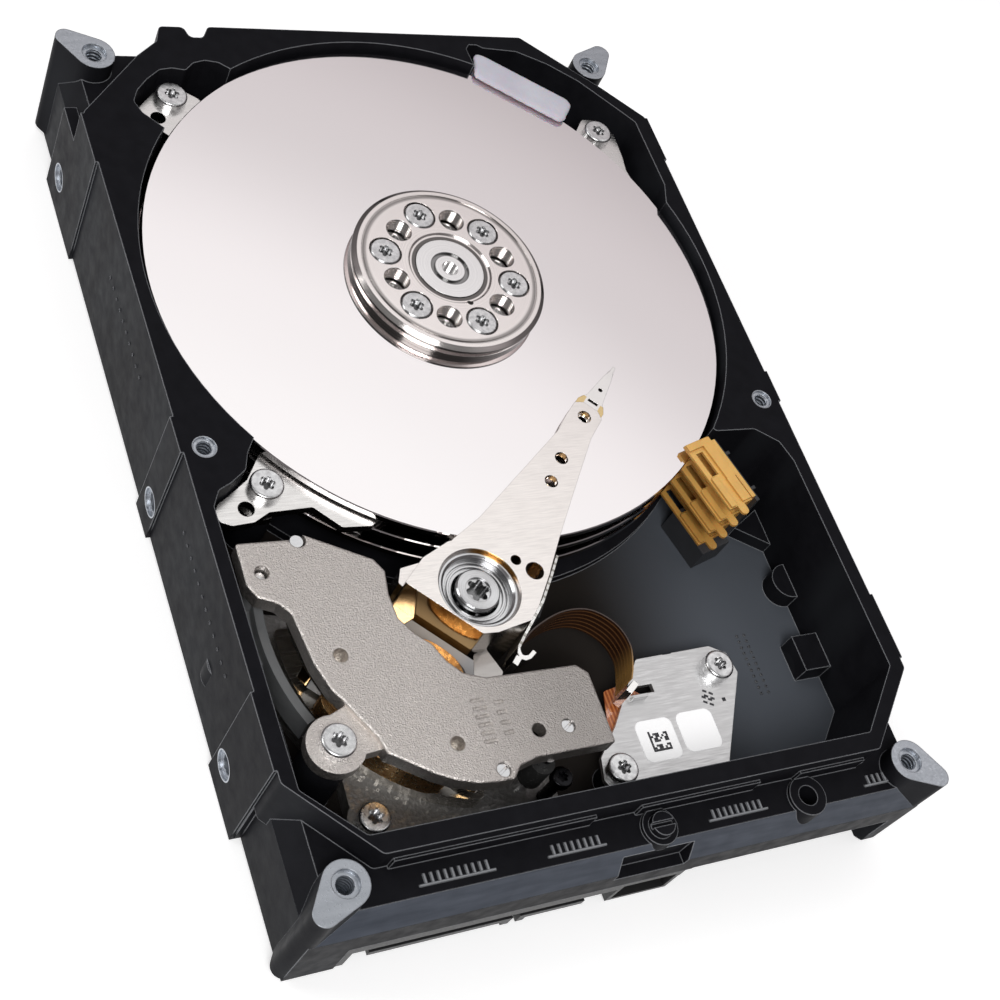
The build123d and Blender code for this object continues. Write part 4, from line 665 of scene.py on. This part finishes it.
def filter_look():
    """Pale felt pouch behind a thin, milky membrane."""
    look = Look(
        "filter_fabric",
        (0.66, 0.64, 0.72),
        roughness=0.55,
        Subsurface_Weight=0.35,
        Subsurface_Scale=1.5 * MM,
        Sheen_Weight=0.3,
        Sheen_Roughness=0.4,
    )
    fibres = look.noise(2400.0, 5.0, vector=look.stretched((1.0, 0.35, 1.0), math.radians(53)))
    cloud = look.noise(180.0, 3.0)
    look.color(look.mix(cloud, (0.56, 0.54, 0.63), (0.78, 0.77, 0.84)))
    look.rough(look.remap(fibres, 0.3, 0.7, 0.42, 0.68))
    look.bump(fibres, 0.25, 0.08 * MM)
    return look


def paper_look():
    """White label paper that glows a little as painted light, so that it stays white under soft light."""
    # painted light: a faint white glow on the label
    look = Look("label_white", (0.94, 0.94, 0.94), roughness=0.6, Emission_Strength=0.30)
    look.shader.inputs["Emission Color"].default_value = (1.0, 1.0, 1.0, 1.0)
    pulp = look.noise(3000.0, 5.0)
    look.color(look.mix(look.remap(pulp, 0.3, 0.7, 0.0, 1.0), (0.90, 0.90, 0.90), (0.96, 0.96, 0.97)))
    look.bump(pulp, 0.1, 0.02 * MM)
    return look


def ink_look():
    """Black print, a little patchy."""
    look = Look("print_black", (0.03, 0.03, 0.035), roughness=0.5)
    blot = look.noise(4200.0, 3.0)
    look.color(look.mix(look.step(blot, 0.60, 0.08), (0.025, 0.025, 0.03), (0.16, 0.16, 0.17)))
    look.bump(blot, 0.1, 0.01 * MM)
    return look


looks = {
    "casting_black": casting_look(),
    "shaft_steel": post_look(),
    "bearing_steel": satin_metal_look("bearing_steel", (0.78, 0.78, 0.80), 0.10, 0.0, 0.05),
    "stator_iron": satin_metal_look("stator_iron", (0.22, 0.22, 0.24), 0.55, 0.0, 0.4),
    "copper_wire": copper_look(),
    "hub_alloy": hub_look(),
    "sleeve_bronze": turned_look("sleeve_bronze", (0.60, 0.46, 0.26), 0.30, SPINDLE),
    "magnet_nickel": satin_metal_look("magnet_nickel", (0.64, 0.61, 0.56), 0.22, 0.0, 0.08),
    "platter_mirror": platter_look(),
    "clamp_nickel": clamp_look(),
    "screw_steel": screw_look(),
    "arm_alloy": arm_look(),
    "coil_bobbin": plastic_look("coil_bobbin", (0.46, 0.46, 0.47), 0.38),
    "latch_plastic": plastic_look("latch_plastic", (0.20, 0.205, 0.21), 0.36),
    "suspension_steel": suspension_look(),
    "slider_ceramic": plastic_look("slider_ceramic", (0.03, 0.03, 0.035), 0.25, 0.05),
    "flex_amber": flex_look("flex_amber", (0.42, 0.095, 0.022), (0.70, 0.26, 0.08), 0.62 * MM, "X"),
    "chip_black": plastic_look("chip_black", (0.022, 0.022, 0.024), 0.5, 0.4),
    "yoke_nickel": blasted_look("yoke_nickel", (0.82, 0.77, 0.73), 4400.0, 0.85),
    "post_steel": satin_metal_look("post_steel", (0.70, 0.70, 0.71), 0.16),
    "stop_rubber": rubber_look(),
    "damper_alloy": satin_metal_look("damper_alloy", (0.90, 0.88, 0.86), 0.24, math.radians(30), 0.06, 0.15),
    "ramp_amber": ramp_look(),
    "bracket_grey": plastic_look("bracket_grey", (0.045, 0.046, 0.05), 0.45),
    "filter_fabric": filter_look(),
    "plate_alloy": satin_metal_look("plate_alloy", (0.88, 0.88, 0.88), 0.42, math.radians(20), 0.02),
    "label_white": paper_look(),
    "print_black": ink_look(),
    "connector_black": plastic_look("connector_black", (0.016, 0.016, 0.017), 0.42),
    "board_green": board_look(),
    "pad_grey": plastic_look("pad_grey", (0.07, 0.07, 0.075), 0.85, 0.6),
    "component_tan": plastic_look("component_tan", (0.30, 0.20, 0.11), 0.5),
    "contact_gold": satin_metal_look("contact_gold", (0.85, 0.62, 0.26), 0.2, 0.0, 0.05),
}
# painted shade: a dark copy of the yoke's nickel for the lower yoke, which lies in shadow under the upper yoke
rough_shaded_yoke = blasted_look("yoke_rough_shaded", (0.34, 0.33, 0.32), 1900.0, 0.8, 0.60)
loop_look = loop_film_look()
arm_film = arm_film_look()

slot_of = {item["node"]: item["material_slot"] for item in frame["record"]["subparts"]}
special = {"lower_yoke": rough_shaded_yoke, "arm_flex": arm_film}


def dress(obj, look):
    """Puts one material on every slot of an object."""
    obj.data.materials.clear()
    obj.data.materials.append(look.material)


for name, node in nodes.items():
    dress(node, special.get(name) or looks[slot_of[name]])


# ---------------------------------------------------------------- pieces made here
def mesh_object(name, points, faces, look, smooth=True):
    """A new object of its own mesh, in one material."""
    mesh = bpy.data.meshes.new(name)
    mesh.from_pydata([tuple(point) for point in points], [], faces)
    mesh.validate()
    if smooth:
        mesh.shade_smooth()
    obj = bpy.data.objects.new(name, mesh)
    bpy.context.scene.collection.objects.link(obj)
    dress(obj, look)
    return obj


def arm_point(along, left, height):
    """Point in the drive's axes, worked out from the arm's own axes, in metres."""
    turn_cos = math.cos(ARM_ANGLE)
    turn_sin = math.sin(ARM_ANGLE)
    x = PIVOT[0] + along * turn_cos - left * turn_sin
    y = PIVOT[1] + along * turn_sin + left * turn_cos
    return Vector((x, y, height))


# the coil's two bulging ends in the arm's axes, in mm: where the legs meet it, and how far it reaches
COIL_ENDS = [((-24.65, 9.0), -26.45), ((-10.45, 3.4), -9.75)]
COIL_END_STEPS = 24
COIL_POINTS = 168
COIL_SMOOTHINGS = 16
COIL_HALF_WIDTH = 1.72 * MM
COIL_MARGIN = 0.02 * MM
WIRE = 0.27 * MM
# outline over one wire: share of its width, and how much of the scallop's depth is reached there
WIRE_DIPS = [(0.0, 0.5), (0.25, 0.10), (0.5, 0.0), (0.75, 0.10)]
SCALLOP_DEPTH = 0.55 * WIRE


def coil_path():
    """Closed midline of the winding in the arm's axes: two bulging ends and two straight legs."""
    raw = []
    for (leg_x, leg_y), end_x in COIL_ENDS:
        for step in range(COIL_END_STEPS + 1):
            share = 2 * step / COIL_END_STEPS - 1
            if end_x > leg_x:
                share = -share
            raw.append(Vector((end_x + (leg_x - end_x) * share * share, -leg_y * share)) * MM)
    even = resample(raw, COIL_POINTS)
    for _ in range(COIL_SMOOTHINGS):
        even = [(even[i - 1] + even[i] * 2 + even[(i + 1) % len(even)]) / 4 for i in range(len(even))]
    return even


def resample(points, count):
    """The closed line through the points, as evenly spaced points."""
    closed = points + [points[0]]
    lengths = [0.0]
    for first, second in zip(closed, closed[1:]):
        lengths.append(lengths[-1] + (second - first).length)
    even, piece = [], 0
    for step in range(count):
        target = lengths[-1] * step / count
        while lengths[piece + 1] < target:
            piece += 1
        share = (target - lengths[piece]) / max(lengths[piece + 1] - lengths[piece], 1e-12)
        even.append(closed[piece].lerp(closed[piece + 1], share))
    return even


def winding_profile(half_width, half_height):
    """Outline of the winding's section, scalloped where the wires lie side by side."""
    across = round(2 * half_width / WIRE)
    tall = round(2 * half_height / WIRE)
    outline = []
    corners = [(-1, -1, 1, 0, across), (1, -1, 0, 1, tall), (1, 1, -1, 0, across), (-1, 1, 0, -1, tall)]
    for start_x, start_y, step_x, step_y, count in corners:
        span = 2 * half_width if step_x else 2 * half_height
        for wire_number in range(count):
            for share, dip in WIRE_DIPS:
                along = (wire_number + share) / count * span
                sink = dip * SCALLOP_DEPTH
                offset = start_x * half_width + step_x * along - step_y * sink
                height = start_y * half_height + step_y * along + step_x * sink
                outline.append((offset, height))
    return outline


def build_coil():
    """Voice coil wound from round wire, in place of the plain CAD ring."""
    path = coil_path()
    low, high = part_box("voice_coil")
    middle = (low.z + high.z) / 2
    profile = winding_profile(COIL_HALF_WIDTH, (high.z - low.z) / 2 - COIL_MARGIN)
    points, faces = [], []
    for number, centre in enumerate(path):
        ahead = path[(number + 1) % len(path)] - path[number - 1]
        outward = Vector((ahead.y, -ahead.x)).normalized()
        for offset, height in profile:
            place = centre + outward * offset
            points.append(arm_point(place.x, place.y, middle + height))
    count = len(profile)
    for number in range(len(path)):
        following = (number + 1) % len(path)
        for corner in range(count):
            other = (corner + 1) % count
            faces.append((number * count + corner, number * count + other,
                          following * count + other, following * count + corner))
    coil = mesh_object("wound_coil", points, faces, looks["copper_wire"])
    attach(coil, "actuator")
    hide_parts("voice_coil")


def curve_through(points, steps):
    """Smooth line through points, evenly stepped between each pair."""
    line = []
    padded = [points[0] * 2 - points[1], *points, points[-1] * 2 - points[-2]]
    for number in range(1, len(padded) - 2):
        before, first, second, after = padded[number - 1:number + 3]
        for step in range(steps):
            share = step / steps
            line.append(0.5 * (2 * first + (second - before) * share
                               + (2 * before - 5 * first + 4 * second - after) * share ** 2
                               + (3 * first - before - 3 * second + after) * share ** 3))
    line.append(points[-1])
    return line


# the ribbon seen from above, in mm, from the arm to the bracket
LOOP_ROUTE = [
    (-7.2, -38.7),
    (-3.9, -36.4),
    (1.2, -34.6),
    (5.8, -34.9),
    (9.1, -37.6),
    (10.2, -41.2),
    (9.3, -44.6),
    (8.3, -46.6),
]


def build_flex_loop():
    """Ribbon that bends between the bracket and the arm, standing on its edge."""
    low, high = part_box("flex_loop")
    line = curve_through([Vector((x * MM, y * MM)) for x, y in LOOP_ROUTE], 10)
    half_thickness = 0.10 * MM
    rows = 16
    points, faces = [], []
    for number, centre in enumerate(line):
        ahead = line[min(number + 1, len(line) - 1)] - line[max(number - 1, 0)]
        outward = Vector((-ahead.y, ahead.x)).normalized() * half_thickness
        for side in (1, -1):
            for row in range(rows + 1):
                place = centre + outward * side
                points.append((place.x, place.y, low.z + (high.z - low.z) * row / rows))
    ring = 2 * (rows + 1)

    def corner(number, side, row):
        return number * ring + side * (rows + 1) + row

    for number in range(len(line) - 1):
        for row in range(rows):
            faces.append((corner(number, 0, row), corner(number, 0, row + 1),
                          corner(number + 1, 0, row + 1), corner(number + 1, 0, row)))
            faces.append((corner(number, 1, row + 1), corner(number, 1, row),
                          corner(number + 1, 1, row), corner(number + 1, 1, row + 1)))
        for row in (0, rows):
            edge = (corner(number, 0, row), corner(number + 1, 0, row),
                    corner(number + 1, 1, row), corner(number, 1, row))
            faces.append(edge if row == 0 else edge[::-1])
    for number in (0, len(line) - 1):
        for row in range(rows):
            end = (corner(number, 0, row + 1), corner(number, 0, row),
                   corner(number, 1, row), corner(number, 1, row + 1))
            faces.append(end if number == 0 else end[::-1])
    ribbon = mesh_object("flex_ribbon", points, faces, loop_look, smooth=False)
    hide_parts("flex_loop")
    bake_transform(ribbon)


def build_filter():
    """Filter pouch with softly rounded sides, grown from the CAD shape."""
    source = nodes["recirculation_filter"]
    pouch = bpy.data.objects.new("filter_pouch", source.data.copy())
    bpy.context.scene.collection.objects.link(pouch)
    remesh = pouch.modifiers.new("voxels", "REMESH")
    remesh.mode = "VOXEL"
    remesh.voxel_size = 0.35 * MM
    smooth = pouch.modifiers.new("soften", "SMOOTH")
    smooth.iterations = 7
    shaped = bpy.data.meshes.new_from_object(pouch.evaluated_get(bpy.context.evaluated_depsgraph_get()))
    pouch.modifiers.clear()
    pouch.data = shaped
    shaped.shade_smooth()
    dress(pouch, looks["filter_fabric"])
    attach(pouch, "chassis")
    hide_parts("recirculation_filter")


def dome_field(name, places, radius, outward):
    """Tiny cast pips, each a low dome. Outward is -1 or +1 along X, or 0 for upward."""
    points, faces = [], []
    sides, rings = 10, 3
    height = 0.6 * radius

    def lifted(first, second, rise):
        """Offset from the middle of a pip, with the rise along the way that the pip points."""
        if outward == 0:
            return Vector((first, second, rise))
        return Vector((outward * rise, first, outward * second))

    for place in places:
        base = len(points)
        for ring in range(rings):
            tilt = math.pi / 2 * ring / rings
            reach = radius * math.cos(tilt)
            for side in range(sides):
                turn = 2 * math.pi * side / sides
                offset = lifted(reach * math.cos(turn), reach * math.sin(turn), height * math.sin(tilt))
                points.append(Vector(place) + offset)
        peak = len(points)
        points.append(Vector(place) + lifted(0.0, 0.0, height))
        for side in range(sides):
            following = (side + 1) % sides
            for ring in range(rings - 1):
                lower = base + ring * sides
                upper = lower + sides
                faces.append((lower + side, lower + following, upper + following, upper + side))
            last_ring = base + (rings - 1) * sides
            faces.append((last_ring + side, last_ring + following, peak))
        faces.append(tuple(base + side for side in reversed(range(sides))))
    field = mesh_object(name, points, faces, looks["casting_black"])
    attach(field, "chassis")


build_coil()
build_flex_loop()
build_filter()
bay_places = [(x * MM, y * MM, BAY_FLOOR) for x in (36.0, 37.4) for y in range(-49, -38)]
dome_field("bay_pips", bay_places, 0.28 * MM, 0)
# the side face lies a little inside the box, which the raised parts of the wall reach
wall_x = cad_low.x + 0.45 * MM
side_places = [(wall_x, y * MM, 15.0 * MM) for y in [*range(-36, -13, 2), *range(12, 32, 2)]]
dome_field("side_pips", side_places, 0.30 * MM, -1)


# ---------------------------------------------------------------- stage, light and camera
def build_floor():
    """Pale floor just under the drive, which also glows a little so that it stays nearly white."""
    reach = 1.6
    corners = [(-reach, -reach, 0), (reach, -reach, 0), (reach, reach, 0), (-reach, reach, 0)]
    look = Look(
        "floor_pale",
        (0.90, 0.90, 0.90),
        roughness=0.85,
        Specular_IOR_Level=0.0,
        Emission_Strength=0.42,
    )
    look.shader.inputs["Emission Color"].default_value = (1.0, 1.0, 1.0, 1.0)
    grain = look.noise(40.0, 3.0)
    look.color(look.mix(grain, (0.89, 0.89, 0.89), (0.91, 0.91, 0.91)))
    floor = mesh_object("floor", corners, [(0, 1, 2, 3)], look, smooth=False)
    floor.location.z = -0.05 * MM


# brightness of the panel against the height of a direction, 0 at the horizon and 1 overhead
PANEL_STOPS = [
    (0.0, 0.05),
    (0.45, 0.14),
    (0.60, 0.44),
    (0.68, 0.68),
    (0.75, 0.95),
    (0.80, 1.02),
    (0.86, 1.0),
    (0.91, 0.35),
    (1.0, 0.22),
]
# level direction from the middle of the stage towards the panel
PANEL_SIDE = (0.749, 0.662, 0.0)
BASE_GLOW = 0.05


def build_world():
    """Surroundings of the studio: a broad soft panel high at the far side, dim elsewhere."""
    world = bpy.data.worlds.new("studio")
    bpy.context.scene.world = world
    world.use_nodes = True
    tree = world.node_tree
    place = tree.nodes.new("ShaderNodeTexCoord")
    split = tree.nodes.new("ShaderNodeSeparateXYZ")
    ramp = tree.nodes.new("ShaderNodeValToRGB")
    ramp.color_ramp.interpolation = "EASE"
    stops = ramp.color_ramp.elements
    stops[0].position = PANEL_STOPS[0][0]
    stops[1].position = PANEL_STOPS[-1][0]
    for position, _ in PANEL_STOPS[1:-1]:
        stops.new(position)
    for stop, (_, level) in zip(stops, PANEL_STOPS):
        stop.color = (level, level, level, 1.0)
    toward = tree.nodes.new("ShaderNodeVectorMath")
    toward.operation = "DOT_PRODUCT"
    toward.inputs[1].default_value = PANEL_SIDE
    spread = tree.nodes.new("ShaderNodeMapRange")
    spread.interpolation_type = "SMOOTHSTEP"
    for name, number in zip(RANGE_SOCKETS, (-0.25, 0.35, 0.22, 1.0)):
        spread.inputs[name].default_value = number
    strength = tree.nodes.new("ShaderNodeMath")
    strength.operation = "MULTIPLY_ADD"
    strength.inputs[2].default_value = BASE_GLOW
    tree.links.new(place.outputs["Generated"], split.inputs[0])
    tree.links.new(place.outputs["Generated"], toward.inputs[0])
    tree.links.new(split.outputs["Z"], ramp.inputs[0])
    tree.links.new(toward.outputs["Value"], spread.inputs["Value"])
    tree.links.new(ramp.outputs[0], strength.inputs[0])
    tree.links.new(spread.outputs["Result"], strength.inputs[1])
    tree.links.new(strength.outputs[0], tree.nodes["Background"].inputs["Strength"])
    blush = tree.nodes.new("ShaderNodeValToRGB")
    low_tone, high_tone = blush.color_ramp.elements
    low_tone.position = 0.62
    low_tone.color = (1.0, 0.925, 0.945, 1.0)
    high_tone.position = 0.78
    high_tone.color = (1.0, 1.0, 1.0, 1.0)
    tree.links.new(split.outputs["Z"], blush.inputs[0])
    tree.links.new(blush.outputs[0], tree.nodes["Background"].inputs["Color"])


def softbox(name, place, size, watts):
    """Square-cornered soft light, aimed at the middle of the stage."""
    light = bpy.data.lights.new(name, "AREA")
    light.shape = "RECTANGLE"
    light.size, light.size_y = size
    light.energy = watts
    lamp = bpy.data.objects.new(name, light)
    bpy.context.scene.collection.objects.link(lamp)
    lamp.location = place
    lamp.rotation_mode = "QUATERNION"
    lamp.rotation_quaternion = (-Vector(place)).to_track_quat("-Z", "Y")


CAMERA_LENS = 62.80
CAMERA_PLACE = Vector((-125.689, -124.561, 217.493)) * MM
CAMERA_RIGHT = Vector((0.87430, -0.32225, 0.36297))
CAMERA_UP = Vector((0.09623, 0.84804, 0.52111))


def build_camera():
    """Camera at the studio's one viewing angle, high over the near left corner and rolled a little."""
    data = bpy.data.cameras.new("camera")
    data.lens = CAMERA_LENS
    data.sensor_width = 36.0
    data.clip_start = 0.01
    camera = bpy.data.objects.new("camera", data)
    bpy.context.scene.collection.objects.link(camera)
    back = CAMERA_RIGHT.cross(CAMERA_UP)
    matrix = Matrix((CAMERA_RIGHT, CAMERA_UP, back)).transposed().to_4x4()
    matrix.translation = CAMERA_PLACE
    camera.matrix_world = matrix
    bpy.context.scene.camera = camera


build_floor()
build_world()
softbox("key", (-0.35, -0.55, 0.85), (0.45, 0.45), 5.5)
softbox("left_fill", (-0.75, 0.35, 0.45), (0.4, 0.5), 2.0)
build_camera()
bpy.context.scene.view_settings.view_transform = "Standard"
